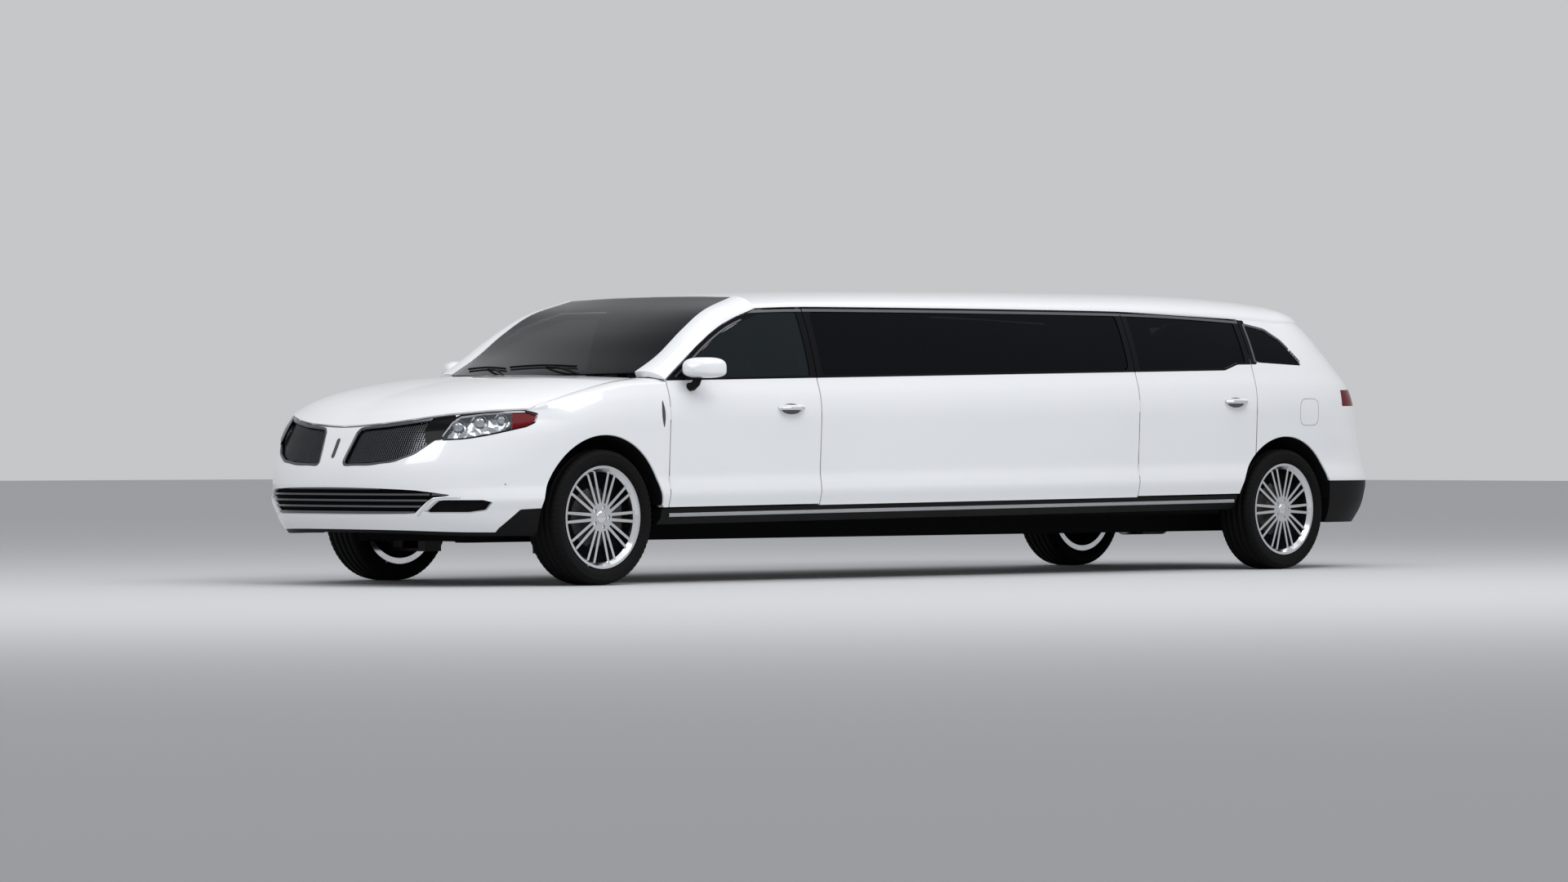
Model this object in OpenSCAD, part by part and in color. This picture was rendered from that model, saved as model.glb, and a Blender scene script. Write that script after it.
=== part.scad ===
// Stretch limousine on a crossover body: four hinged doors, a long centre section
// let in between them, a split wing grille, a hood and a lifting tailgate.
// +X is forwards, +Y is the car's left side, +Z is up and the ground is z = 0.

/* [Overall] */
// Distance between the axles
wheelbase = 5795; // [5400:5:6200]
// Front axle to the nose
front_overhang = 1155; // [1145:1:1175]
// Rear axle to the tail
rear_overhang = 1125; // [1110:1:1150]
// Half width of the body at its widest
half_w = 965; // [955:1:985]
// Height of the roof's crown
roof_h = 1685; // [1670:1:1710]
// Height of the sill line at the front axle
sill_h = 417; // [405:1:425]
// Height of the belt line at the front axle
belt_h = 1093; // [1085:1:1100]
// Half width at the cant rail, on top of the side glass
rail_half = 790; // [780:1:800]

/* [Panels] */
// Gap at a shut line that moves
panel_gap = 8; // [7:0.5:12]
// Thickness of a whole door or side wall
door_t = 118; // [110:1:125]
// Thickness of fenders, bumpers, hood and tail skins with their inner frames
skin_t = 36; // [30:1:40]
// Thickness of window frames and pillars
frame_t = 44; // [40:1:48]
// Thickness of the glass
glass_t = 6; // [4:0.5:8]
// Clearance between pieces that seat on each other
seat_gap = 0.3; // [0.2:0.05:0.5]

/* [Doors] */
// Front axle to the front door's leading shut line
front_door_at = 488; // [480:1:495]
// Length of a front door between its shut lines
front_door_len = 1188; // [1180:1:1210]
// Rear axle forwards to the rear door's trailing shut line
rear_door_end = 290; // [280:1:300]
// Length of a rear door between its shut lines
rear_door_len = 1095; // [1080:1:1110]
// Length of a door handle
handle_len = 150; // [120:5:180]

/* [Wheels] */
// Outside diameter of the tyres
tyre_d = 740; // [720:1:750]
// Width of the tyres
tyre_w = 250; // [240:1:256]
// Diameter of the rim's outer lip
rim_d = 560; // [540:1:570]
// Distance between the tyres' middles on one axle
track = 1660; // [1650:1:1670]
// Pairs of spokes on a rim
spoke_pairs = 10; // [8:1:12]
// Width of one spoke at its middle
spoke_w = 15; // [12:1:17]
// Radius of the wheel arches
arch_r = 450; // [445:1:460]
// Distance from the wheel's middle in to its steering axis
kingpin_in = 25; // [15:1:30]
// Diameter of the brake discs
disc_d = 330; // [320:1:340]

/* [Frame] */
// Height of the underside of the frame rails
rail_under = 232; // [225:1:240]
// Height of the frame rails
rail_deep = 112; // [100:1:118]
// Half distance between the frame rails
rail_at = 400; // [390:1:410]
// Thickness of the floor
floor_t = 30; // [25:1:35]
// Diameter of the jacking pads
pad_d = 70; // [60:1:90]

/* [Hidden] */
$fn = 96;

body_len = front_overhang + wheelbase + rear_overhang;
xf = body_len / 2 - front_overhang;
xr = rear_overhang - body_len / 2;
hub_z = tyre_d / 2;
half_track = track / 2;
half_gap = panel_gap / 2;
white = [0.93, 0.94, 0.95];
black = [0.05, 0.05, 0.055];
grey = [0.3, 0.31, 0.33];

// Rise of the two long lines for each millimetre to the rear
sill_rise = 0.0096;
belt_rise = 0.0215;

// Powers of the rounded plan outlines at the nose and, by height, at the tail
nose_power = 2.8;
tail_power = [[500, 4], [840, 3.5], [1100, 3.1], [1300, 2.6], [1500, 2.2]];

// Side section: share of the way from sill to belt, inset from the widest line
side_rows = [[-0.3, 75], [-0.15, 40], [0, 20], [0.1, 3], [0.16, 6], [0.25, 15], [0.5, 8], [0.75, 3],
    [0.88, 14],
    [1, 40]];
// Fall of the shoulder line ahead of the doors: distance ahead of the front axle, fall
shoulder_rows = [[-465, 0], [-200, 8], [0, 35], [250, 85], [480, 131], [900, 158], [1155, 220]];
// Nose profile: height, how far the nose stands back from the overhang
nose_rows = [[270, 95], [390, 20], [470, 5], [560, 0], [650, 15], [750, 60], [860, 115], [930, 170],
    [1000, 230]];
// Tail profile: height, how far the tail stands back from the overhang
tail_rows = [[270, 110], [400, 20], [530, 0], [850, 55], [1100, 105], [1227, 185], [1343, 275], [1457,
    365],
    [1546, 490], [1610, 585]];
// Where the tail starts to round, behind the rear axle
tail_start = 105;
// Cant rail: place along the car, fall below the roof's crown
rail_rows = [[xr - 600, 168], [xr - 105, 168], [xr + 85, 158], [xr + 855, 129], [xr + 1605, 121],
    [xf - 1810, 139],
    [xf - 1310, 153], [xf - 800, 185]];
// Roof's middle line: place along the car, fall below the crown
crown_rows = [[xr - 540, 84], [xr - 205, 35], [xr + 295, 7], [xr + 995, 0], [xf - 3000, 21],
    [xf - 1900, 45],
    [xf - 1250, 79]];
// Windshield's side edge: share of the way up, place behind the front axle, half width, height
screen_rows = [[0, 420, 748, 1160], [0.25, 600, 745, 1258], [0.5, 800, 728, 1398], [0.75, 1000, 702,
    1512],
    [1, 1270, 655, 1594]];
// Front edge of the door frame under the A-pillar, same columns
pillar_rows = [[0, 478, 925, 1122], [0.25, 640, 898, 1228], [0.5, 837, 863, 1351], [0.75, 1040, 828,
    1448],
    [1, 1301.2, 796, 1528]];
// Windshield's middle line: share of the way up, place behind the front axle, height
screen_mid = [[0, 170, 1150], [0.25, 430, 1262], [0.5, 700, 1392], [0.75, 970, 1508], [1, 1250, 1603]];
// Hood's middle line and front edge: share of the way, height
hood_mid = [[0, 1150], [0.25, 1130], [0.5, 1090], [0.75, 1022], [0.9, 948], [1, 866]];
hood_side = [[0, 1128], [0.25, 1100], [0.5, 1058], [0.75, 1010], [1, 958]];
hood_edge = [[0, 866], [0.2, 884], [0.36, 905], [0.53, 928], [0.7, 943], [0.85, 952], [1, 958]];
hood_turn = 66;
hood_open_y = 780;

// Blend between two values, and a smooth curve through the rows of a table
function lerp(a, b, t) = a + (b - a) * t;
function rise(t, i, c) = let (lo = max(i - 1, 0), hi = min(i + 1, len(t) - 1))
    (t[hi][c] - t[lo][c]) / (t[hi][0] - t[lo][0]);
function smooth(t, x, c = 1) = x <= t[0][0] ? t[0][c] : x >= t[len(t) - 1][0] ? t[len(t) - 1][c] :
    let (i = max([for (k = [0 : len(t) - 2]) if (t[k][0] <= x) k]), h = t[i + 1][0] - t[i][0],
        s = (x - t[i][0]) / h, q = 1 - s)
    t[i][c] * (1 + 2 * s) * q * q + t[i + 1][c] * s * s * (3 - 2 * s)
    + h * s * q * (rise(t, i, c) * q - rise(t, i + 1, c) * s);

// Long lines of the body
function sill_z(x) = sill_h + sill_rise * (xf - x);
function belt_z(x) = belt_h + belt_rise * (xf - x);
function rail_z(x) = roof_h - smooth(rail_rows, x);
function crown_z(x) = roof_h - smooth(crown_rows, x);
function shoulder_z(x) = belt_z(x) - smooth(shoulder_rows, x - xf);

// Side wall: row 0 at the sill, 1 at the belt, 2 at the cant rail
function side_y(r) = half_w - smooth(side_rows, r);
function wall_y(r) = r <= 1 ? side_y(r) : lerp(side_y(1), rail_half, r - 1) + 50 * (r - 1) * (2 - r);
function wall_z(x, r) = r <= 1 ? lerp(sill_z(x), shoulder_z(x), r) : lerp(belt_z(x), rail_z(x), r - 1);
function wall_in(r) = r < 1 ? half_w - door_t : wall_y(r) - frame_t * (r < 1.05 ? 1.6 : 1);
function nose_x(z) = front_overhang - smooth(nose_rows, z);
function tail_x(z) = rear_overhang - smooth(tail_rows, z);

// Point on a rounded end: turn 0 at the side and 90 at the middle, moved in by an inset
function plan(turn, long, wide, power, inset) = let (e = 2 / power, s = sin(turn), c = cos(turn),
        n = [pow(s, 2 - e) / long, pow(c, 2 - e) / wide], k = inset / norm(n))
    [long * pow(s, e) - k * n[0], wide * pow(c, e) - k * n[1]];
function nose_z(x, r) = lerp(sill_z(x), shoulder_z(x), r);
function nose_pt(turn, r, inset = 0) = let (z = nose_z(xf + plan(turn, front_overhang, 1, nose_power,
    0)[0], r),
        p = plan(turn, nose_x(z), side_y(r), nose_power, inset)) [xf + p[0], p[1], z];
function tail_row(z) = let (x = xr - tail_start, s = sill_z(x), b = belt_z(x))
    z < b ? (z - s) / (b - s) : 1 + (z - b) / (rail_z(x) - b);
function tail_pt(turn, z, inset = 0) = let (
        p = plan(turn, tail_x(z) - tail_start, wall_y(tail_row(z)), smooth(tail_power, z), inset))
    [xr - tail_start - p[0], p[1], z];
function wall_pt(x, r) = [x, wall_y(r), wall_z(x, r)];

// Closed slab between an outer and an inner grid of points
module slab(outer, inner) {
    nr = len(outer[0]);
    nc = len(outer);
    np = nc * nr;
    i_last = nc - 1;
    j_last = nr - 1;
    function id(i, j) = i * nr + j;
    quads = concat(
        [for (i = [0 : nc - 2], j = [0 : nr - 2]) [id(i, j), id(i, j + 1), id(i + 1, j + 1), id(i + 1,
            j)]],
        [for (i = [0 : nc - 2], j = [0 : nr - 2])
            [np + id(i, j), np + id(i + 1, j), np + id(i + 1, j + 1), np + id(i, j + 1)]],
        [for (i = [0 : nc - 2]) [id(i, 0), id(i + 1, 0), np + id(i + 1, 0), np + id(i, 0)]],
        [for (i = [0 : nc - 2])
            [id(i, j_last), np + id(i, j_last), np + id(i + 1, j_last), id(i + 1, j_last)]],
        [for (j = [0 : nr - 2]) [id(0, j), np + id(0, j), np + id(0, j + 1), id(0, j + 1)]],
        [for (j = [0 : nr - 2])
            [id(i_last, j), id(i_last, j + 1), np + id(i_last, j + 1), np + id(i_last, j)]]);
    polyhedron(concat([for (c = outer) each c], [for (c = inner) each c]),
        [for (q = quads) each [[q[0], q[1], q[2]], [q[0], q[2], q[3]]]]);
}

// Closed solid through a stack of rings that run from back to front
module pod(rings) {
    n = len(rings[0]);
    m = len(rings);
    polyhedron([for (r = rings) each r], concat(
        [for (i = [0 : m - 2], j = [0 : n - 1]) let (k = (j + 1) % n)
            each [[i * n + j, (i + 1) * n + k, i * n + k], [i * n + j, (i + 1) * n + j, (i + 1)
                * n + k]]],
        [[for (j = [0 : n - 1]) j], [for (j = [n - 1 : -1 : 0]) (m - 1) * n + j]]));
}

// Prisms through an outline: seen from the side, from the front or from the front corner
module from_side(y0, y1) translate([0, y1, 0]) rotate([90, 0, 0]) linear_extrude(y1 - y0) children();
module from_front(x0, x1) translate([x0, 0, 0]) rotate([90, 0, 90]) linear_extrude(x1 - x0) children();
module from_corner() translate([xf, 0, 0]) rotate([0, 0, 45]) rotate([90, 0, 90]) linear_extrude(2000)
    children();
module both_sides() {
    children();
    mirror([0, 1, 0]) children();
}

// Arch opening around a wheel on the left side
module arch_cut(x, y0 = 300, r = arch_r) translate([x, y0, hub_z]) rotate([-90, 0, 0]) cylinder(r = r,
    h = 900, $fn = 180);

// Shut lines along the side
front_door_x = xf - front_door_at;
front_door_back = front_door_x - front_door_len;
rear_door_back = xr + rear_door_end;
rear_door_x = rear_door_back + rear_door_len;

// Rows used for the side walls, below and above the belt
low_rows = [0, 0.1, 0.16, 0.25, 0.5, 0.75, 0.88, 0.97];
high_rows = [1, 1.08, 1.5, 2];
module side_wall(xs, rows, drop = 0) slab(
    [for (x = xs) [for (r = rows) wall_pt(x, r) - [0, 0, r == 0 ? drop : 0]]],
    [for (x = xs) [for (r = rows) [x, wall_in(r), wall_z(x, r) - (r == 0 ? drop : 0)]]]);

// Side glass: a sheet set into the upper wall
module glass_wall(xs) slab(
    [for (x = xs) [for (r = high_rows) [x, wall_y(r) - glass_t, wall_z(x, r)]]],
    [for (x = xs) [for (r = high_rows) [x, wall_y(r) - 2 * glass_t, wall_z(x, r)]]]);

// Window outlines seen from the side, grown or shrunk by d
function pillar_pt(k, d) = [xf - smooth(pillar_rows, k, 1) - d, smooth(pillar_rows, k, 3) - d * 0.5];
module front_window(d = 0) polygon(concat(
    [[front_door_back + 48 - d, belt_z(front_door_back) + 24 - d], [front_door_x - 62 + d,
        belt_z(front_door_x) + 24 - d]],
    [for (k = [0.12, 0.35, 0.6, 0.85]) pillar_pt(k, 44 - d)],
    [[xf - 1330, rail_z(xf - 1330) - 26 + d], [front_door_back + 48 - d, rail_z(front_door_back)
        - 26 + d]]));
module stretch_window(d = 0) polygon([for (q = [[rear_door_x + 48 - d, 0], [front_door_back - 48 + d, 0],
        [front_door_back - 48 + d, 1], [lerp(rear_door_x, front_door_back, 0.5), 1], [rear_door_x
            + 48 - d, 1]])
    [q[0], q[1] == 0 ? belt_z(q[0]) + 24 - d : rail_z(q[0]) - 26 + d]]);
kick_x = rear_door_back + 150;
module rear_window(d = 0) polygon(concat(
    [for (x = [rear_door_back + 48 - d, kick_x - 20]) [x, belt_z(x) + 58 - d]],
    [for (x = [kick_x + 110, rear_door_x - 48 + d]) [x, belt_z(x) + 24 - d]],
    [for (x = [rear_door_x - 48 + d, kick_x + 200, rear_door_back + 48 - d]) [x, rail_z(x) - 26 + d]]));
quarter_tip = xr - 195;
module quarter_window(d = 0) polygon([[rear_door_back - 48 + d, belt_z(rear_door_back) + 58 - d],
    [rear_door_back - 48 + d, rail_z(rear_door_back) - 34 + d], [xr + 60, rail_z(xr + 60) - 56 + d],
    [xr - 60, rail_z(xr) - 120 + d], [quarter_tip - d, belt_z(xr) + 44], [quarter_tip - d, belt_z(xr)
        + 36 - d]]);

// Door outlines seen from the side
module front_door_outline() polygon(concat(
    [[front_door_back + half_gap, 200], [front_door_x - half_gap, 200], [front_door_x - half_gap,
        belt_z(front_door_x)]],
    [for (k = [0, 0.25, 0.5, 0.75, 1]) pillar_pt(k, panel_gap + 2)],
    [for (s = [0.3, 0.6, 0.95]) let (x = lerp(xf - 1300, front_door_back, s)) [x, rail_z(x)
        - panel_gap - 4]],
    [[front_door_back + half_gap, rail_z(front_door_back) - panel_gap - 4]]));
module rear_door_outline() difference() {
    polygon(concat([[rear_door_back + half_gap, 200], [rear_door_x - half_gap, 200]],
        [for (s = [0, 0.5, 1]) let (x = lerp(rear_door_x - half_gap, rear_door_back + half_gap, s))
            [x, rail_z(x) - panel_gap - 4]]));
    translate([xr, hub_z]) circle(arch_r, $fn = 180);
}

// Pull handle: a rounded bar on two feet over the door skin
module handle(x, r) {
    z = wall_z(x, r);
    y = wall_y(r);
    translate([x - handle_len / 2, y + 26, z]) rotate([0, 90, 0]) cylinder(d = 18, h = handle_len);
    for (side = [-1, 1])
        translate([x + side * (handle_len / 2 - 14), y - 12, z]) rotate([-90, 0, 0]) cylinder(d = 17,
            h = 38);
}
module door_body(xs, back) {
    // The inner half of the trailing edge stands back, so it can swing past the pillar
    difference() {
        union() {
            side_wall(xs, low_rows);
            side_wall(xs, concat([0.97], high_rows));
        }
        translate([back - 60, 0, 0]) cube([60 + half_gap + 16, half_w - 42, 2000]);
    }
}
front_door_xs = [for (s = [0, 0.35, 0.7, 1]) lerp(front_door_x + 20, front_door_back - 20, s)];
module front_door() {
    difference() {
        intersection() {
            door_body(front_door_xs, front_door_back);
            from_side(600, 1100) front_door_outline();
        }
        from_side(500, 1100) front_window();
    }
    handle(front_door_back + 245, 0.79);
}
module rear_door() {
    xs = [for (s = [0, 0.5, 1]) lerp(rear_door_x + 20, rear_door_back - 20, s)];
    difference() {
        intersection() {
            door_body(xs, rear_door_back);
            from_side(600, 1100) rear_door_outline();
        }
        from_side(500, 1100) rear_window();
    }
    handle(rear_door_back + 205, 0.77);
}
module door_front_left() color(white) front_door();
module door_front_right() color(white) mirror([0, 1, 0]) front_door();
module door_rear_left() color(white) rear_door();
module door_rear_right() color(white) mirror([0, 1, 0]) rear_door();

// Door glass, seated in its frame
module front_glass() intersection() {
    glass_wall([for (s = [0, 0.4, 0.7, 1]) lerp(front_door_x + 20, front_door_back - 20, s)]);
    from_side(500, 1100) front_window(-seat_gap);
}
module rear_glass() intersection() {
    glass_wall([for (s = [0, 0.5, 1]) lerp(rear_door_x + 20, rear_door_back - 20, s)]);
    from_side(500, 1100) rear_window(-seat_gap);
}
smoke = [0.06, 0.07, 0.08, 0.6];
module glass_front_left() color(smoke) front_glass();
module glass_front_right() color(smoke) mirror([0, 1, 0]) front_glass();
module glass_rear_left() color(smoke) rear_glass();
module glass_rear_right() color(smoke) mirror([0, 1, 0]) rear_glass();

// Door mirror: a rounded shell on a foot that stands on the door skin
mirror_x = front_door_x - 185;
mirror_rings = [[-78, 0.55], [-70, 0.8], [-48, 0.95], [-13, 1], [22, 0.93], [54, 0.72], [72, 0.4]];
mirror_sweep = 50;
module door_mirror() difference() {
    mirror_shape();
    translate([0, seat_gap, 0]) door_body(front_door_xs, front_door_back);
}
module mirror_shape() {
    z = wall_z(mirror_x, 0.97);
    y = wall_y(0.97);
    // Shell: rounded rings, each with its place along the car and its share of the full size,
    // swept back towards the outer end
    pod([for (q = mirror_rings) [for (a = [0 : 22.5 : 337.5])
        let (out = q[1] * rounded(cos(a)))
        [mirror_x + q[0] - mirror_sweep * out, y + 92 + 92 * out,
            z + 92 + q[1] * 66 * rounded(sin(a))]]]);
    // Foot between the shell and the door skin
    translate([mirror_x, y + 44, z - 22]) cylinder(d = 44, h = 80);
    translate([mirror_x, y - 6, z - 22]) rotate([-90, 0, 0]) cylinder(d = 44, h = 50);
}
function rounded(c) = sign(c) * pow(abs(c), 0.62);
module mirror_left() color(white) door_mirror();
module mirror_right() color(white) mirror([0, 1, 0]) door_mirror();

// Stations along the centre section, from back to front
stretch_xs = [for (s = [0, 0.34, 0.67, 1]) lerp(rear_door_x + half_gap, front_door_back - half_gap, s)];
// Centre side panels: whole wall from sill to cant rail with the long window cut
module stretch_panels() color(white) both_sides() {
    stretch_wall();
    door_pins(rear_door_x, 580, 960);
}
module stretch_wall() difference() {
    xs = [for (i = [1 : len(stretch_xs)]) stretch_xs[len(stretch_xs) - i]];
    union() {
        side_wall(xs, low_rows, panel_gap - seat_gap);
        side_wall(xs, concat([0.97], high_rows));
    }
    from_side(500, 1100) stretch_window();
}

// Fixed glass of the centre section and of the quarters
module side_windows() color(smoke) both_sides() {
    intersection() {
        glass_wall([for (s = [0, 0.33, 0.66, 1]) lerp(front_door_back, rear_door_x, s)]);
        from_side(500, 1100) stretch_window(-seat_gap);
    }
    intersection() {
        slab([for (c = quarter_cols) [for (r = high_rows) quarter_pt(c, r, glass_t)]],
            [for (c = quarter_cols) [for (r = high_rows) quarter_pt(c, r, 2 * glass_t)]]);
        from_side(500, 1100) quarter_window(-seat_gap);
    }
}

// Rear quarter: straight to just behind the axle, then round to the tail. Columns are the
// share of the straight run when negative and the turn when positive
quarter_cols = [-1, -0.6, -0.2, 0, 18, 32, 44, 54, 63, 72];
function quarter_pt(c, r, inset) = let (x = lerp(xr - tail_start, rear_door_back - half_gap, max(-c, 0)))
    c <= 0 ? [x, wall_y(r) - inset, wall_z(x, r)] : tail_pt(c, wall_z(xr - tail_start, r), inset);
gate_gap_y = 742;
roof_back = xr - 540;
bumper_seam = 545;
gate_low = 690;
module gate_outline(d = 0) polygon([[-gate_gap_y - d, gate_low - d], [gate_gap_y + d, gate_low - d],
    [gate_gap_y - 12 + d, 1200], [610 + d, 1480], [520 + d, 1640], [-520 - d, 1640], [-610 - d, 1480],
    [-gate_gap_y + 12 - d, 1200]]);
module rear_quarters() color(white) both_sides() difference() {
    union() {
        slab([for (c = quarter_cols) [for (r = low_rows) quarter_pt(c, r, 0)]],
            [for (c = quarter_cols) [for (r = low_rows) quarter_pt(c, r, 2 * skin_t)]]);
        slab([for (c = quarter_cols) [for (r = concat([0.97], high_rows)) quarter_pt(c, r, 0)]],
            [for (c = quarter_cols) [for (r = concat([0.97], high_rows)) quarter_pt(c, r, frame_t)]]);
    }
    arch_cut(xr);
    from_side(500, 1100) quarter_window();
    from_front(-6000, xr - 200) gate_outline(panel_gap);
    // The bumper takes the strip under the liftgate, and with its valance the lower tail
    translate([xr - 3000, 0, 0]) cube([2600, gate_gap_y + panel_gap + seat_gap, gate_low]);
    translate([xr - 3000, 0, 0]) cube([3000 - arch_r * 0.9, 1100, bumper_seam + seat_gap]);
    from_front(-6000, tail_lamp_x) lamp_outline(seat_gap);
}

// Tail lamps wrap the corners beside the liftgate
tail_lamp_x = xr - 570;
module lamp_outline(d = 0) polygon([
    [gate_gap_y - 40, 1016 - d], [1000, 1004 - d], [1000, 1102 + d], [gate_gap_y - 40, 1120 + d]]);
module tail_slab(cols, zs, out, in) slab(
    [for (c = cols) [for (z = zs) tail_pt(c, z, out)]],
    [for (c = cols) [for (z = zs) tail_pt(c, z, in)]]);
module tail_lamps() color([0.55, 0.03, 0.04]) both_sides() difference() {
    intersection() {
        tail_slab([14, 22, 30, 38, 44, 50, 56, 62, 68, 74], [980, 1050, 1090, 1150], 0, skin_t);
        from_front(-6000, tail_lamp_x - seat_gap) lamp_outline();
    }
    from_front(-6000, xr - 200) gate_outline(panel_gap + seat_gap);
}

// Full width grids at the tail run from the left side round to the right
module tail_ring(turns, zs, out, in) slab(
    [for (t = turns) [for (z = zs) across(t, tail_pt(90 - abs(t), z, out))]],
    [for (t = turns) [for (z = zs) across(t, tail_pt(90 - abs(t), z, in))]]);
function across(t, p) = [p[0], t < 0 ? p[1] : -p[1], p[2]];
gate_turns = [-58, -46, -36, -28, -18, -9, 0, 9, 18, 28, 36, 46, 58];
gate_zs = [660, 760, 850, 960, 1100, 1170, 1227, 1290, 1343, 1400, 1457, 1510, 1560, 1600, 1625];
module gate_skin(out, in) intersection() {
    tail_ring(gate_turns, gate_zs, out, in);
    from_front(-6000, gate_front) gate_outline();
}
gate_front = roof_back - panel_gap;
module gate_window(d = 0) polygon([[-620 - d, 1225 - d], [620 + d, 1225 - d], [560 + d, 1400],
    [490 + d, 1525 + d],
    [-490 - d, 1525 + d], [-560 - d, 1400]]);
lamp_bar = [1036, 1108];
module gate_lamp_outline(d) polygon([[-gate_gap_y + 26 - d, lamp_bar[0] - d], [gate_gap_y - 26 + d,
    lamp_bar[0] - d],
    [gate_gap_y - 26 + d, lamp_bar[1] + d], [-gate_gap_y + 26 - d, lamp_bar[1] + d]]);
module liftgate() color(white) difference() {
    gate_skin(0, skin_t + 8);
    from_front(-6000, 0) gate_window();
    intersection() {
        tail_ring(gate_turns, [1000, 1050, 1100, 1150], -60, 14);
        from_front(-6000, 0) gate_lamp_outline(seat_gap);
    }
}
module liftgate_glass() color(smoke) intersection() {
    tail_ring(gate_turns, [1200, 1250, 1300, 1360, 1420, 1480, 1550], glass_t, 2 * glass_t);
    from_front(-6000, 0) gate_window(-seat_gap);
}
module gate_lamp() color([0.55, 0.03, 0.04]) intersection() {
    tail_ring(gate_turns, [1000, 1050, 1100, 1150], 0, 14 - seat_gap);
    from_front(-6000, 0) gate_lamp_outline(0);
}

// Rear bumper under the liftgate and the dark valance below it
bumper_turns = [-84, -72, -62, -50, -38, -26, -13, 0, 13, 26, 38, 50, 62, 72, 84];
valance_z = [285, 330, 400, 470, 525];
module rear_bumper() color(white) difference() {
    tail_ring(bumper_turns, [bumper_seam + seat_gap, 600, 650, gate_low - panel_gap], 0, 2 * skin_t);
    both_sides() arch_cut(xr);
    // Above its seam the corner belongs to the quarter panel
    both_sides() translate([xr - 3000, gate_gap_y + panel_gap, 500]) cube([3000, 600, 400]);
}
module rear_valance() color(black) difference() {
    tail_ring(concat([-90], bumper_turns, [90]), concat(valance_z, [bumper_seam]), 2, 2 * skin_t);
    both_sides() arch_cut(xr);
}

// Front bumper: the whole nose skin under hood, lamps and grille, back to the wheel arch
front_turns = [3, 12, 20, 27, 34, 41, 48, 55, 62, 69, 76, 83, 90];
front_rows = [-0.22, -0.1, 0, 0.1, 0.16, 0.25, 0.4, 0.55, 0.72, 0.9, 1.08];
front_ring = concat([for (t = front_turns) -t], [for (i = [1 : len(front_turns) - 1])
    front_turns[len(front_turns) - 1 - i]]);
module nose_ring(rows, out, in) slab(
    [for (t = front_ring) [for (r = rows) across(-t, nose_pt(abs(t), r, out))]],
    [for (t = front_ring) [for (r = rows) across(-t, nose_pt(abs(t), r, in))]]);
// Side seam against the fender, and the cut-outs seen from the front
module fender_area(d = 0) polygon([[front_door_x - 900, 0], [xf, 0], [xf + 300 + d, 660],
    [xf + 390 + d, 762 - d], [xf + 390 + d, 1300], [front_door_x - 900, 1300]]);
wing_rows = [[92, 652], [300, 656], [447, 673], [545, 712], [628, 790], [645, 860], [648, 905], [500,
    888], [300, 868],
    [132, 846]];
module wing_outline(d = 0) offset_poly(wing_rows, [330, 770], d);
// Grows an outline away from its middle by about d
module offset_poly(rows, mid, d) polygon([for (p = rows) p + d * (p - mid) / norm(p - mid)]);
// Headlamp seen along the corner: sideways distance, height
lamp_rows = [[-205, 792], [-60, 800], [70, 822], [296, 874], [316, 938], [60, 934], [-120, 912]];
module headlamp_outline(d = 0) offset_poly(lamp_rows, [60, 865], d);
intake_half = [[300, 532], [560, 522], [660, 508], [738, 493], [655, 480], [578, 407], [556, 388],
    [300, 386]];
intake_rows = concat([[0, 536]], intake_half, [[0, 386]],
    [for (i = [len(intake_half) - 1 : -1 : 0]) [-intake_half[i][0], intake_half[i][1]]]);
fog_rows = [[594, 394], [664, 462], [690, 468], [862, 468], [820, 396]];
module front_bumper() color(white) difference() {
    nose_ring(front_rows, 0, skin_t);
    both_sides() from_side(0, 1100) fender_area();
    both_sides() arch_cut(xf);
    both_sides() from_front(xf, xf + 2000) wing_outline();
    both_sides() from_corner() headlamp_outline();
    from_front(xf, xf + 2000) offset_poly(intake_rows, [0, 460], 0);
    both_sides() from_front(xf, xf + 2000) offset_poly(fog_rows, [735, 435], 0);
    // Upper edge under the hood, between the lamps and the grille
    hood_room();
}

// Grille wings with a frame and upright slats, the lower intake bars and the fog recess plates
slat_pitch = 24;
wing_turns = [90, 82, 74, 66, 58, 51, 44, 38];
module nose_part(turns, rows, out, in) slab(
    [for (t = turns) [for (r = rows) nose_pt(t, r, out)]],
    [for (t = turns) [for (r = rows) nose_pt(t, r, in)]]);
module grille_wing() {
    intersection() {
        nose_part(wing_turns, [0.4, 0.6, 0.8, 1, 1.15], 12, skin_t - 6);
        from_front(xf, xf + 2000) difference() {
            wing_outline(-seat_gap);
            wing_outline(-16);
        }
    }
    intersection() {
        nose_part(wing_turns, [0.4, 0.6, 0.8, 1, 1.15], 16, skin_t - 10);
        from_front(xf, xf + 2000) intersection() {
            wing_outline(-10);
            for (i = [0 : 26]) translate([60 + i * slat_pitch, 600]) square([7, 400]);
        }
    }
}
module grilles() color(grey) {
    difference() {
        both_sides() grille_wing();
        hood_room();
    }
    intersection() {
        nose_ring([-0.2, 0, 0.15, 0.3], 14, skin_t);
        from_front(xf, xf + 2000) intersection() {
            offset_poly(intake_rows, [0, 460], -seat_gap);
            for (i = [0 : 4]) translate([-700, 396 + i * 32]) square([1400, 10]);
        }
    }
    both_sides() intersection() {
        nose_part([66, 58, 50, 42, 34, 26, 19], [-0.2, 0, 0.15, 0.3], 26, skin_t);
        from_front(xf, xf + 2000) offset_poly(fog_rows, [735, 435], -seat_gap);
    }
}

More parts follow.
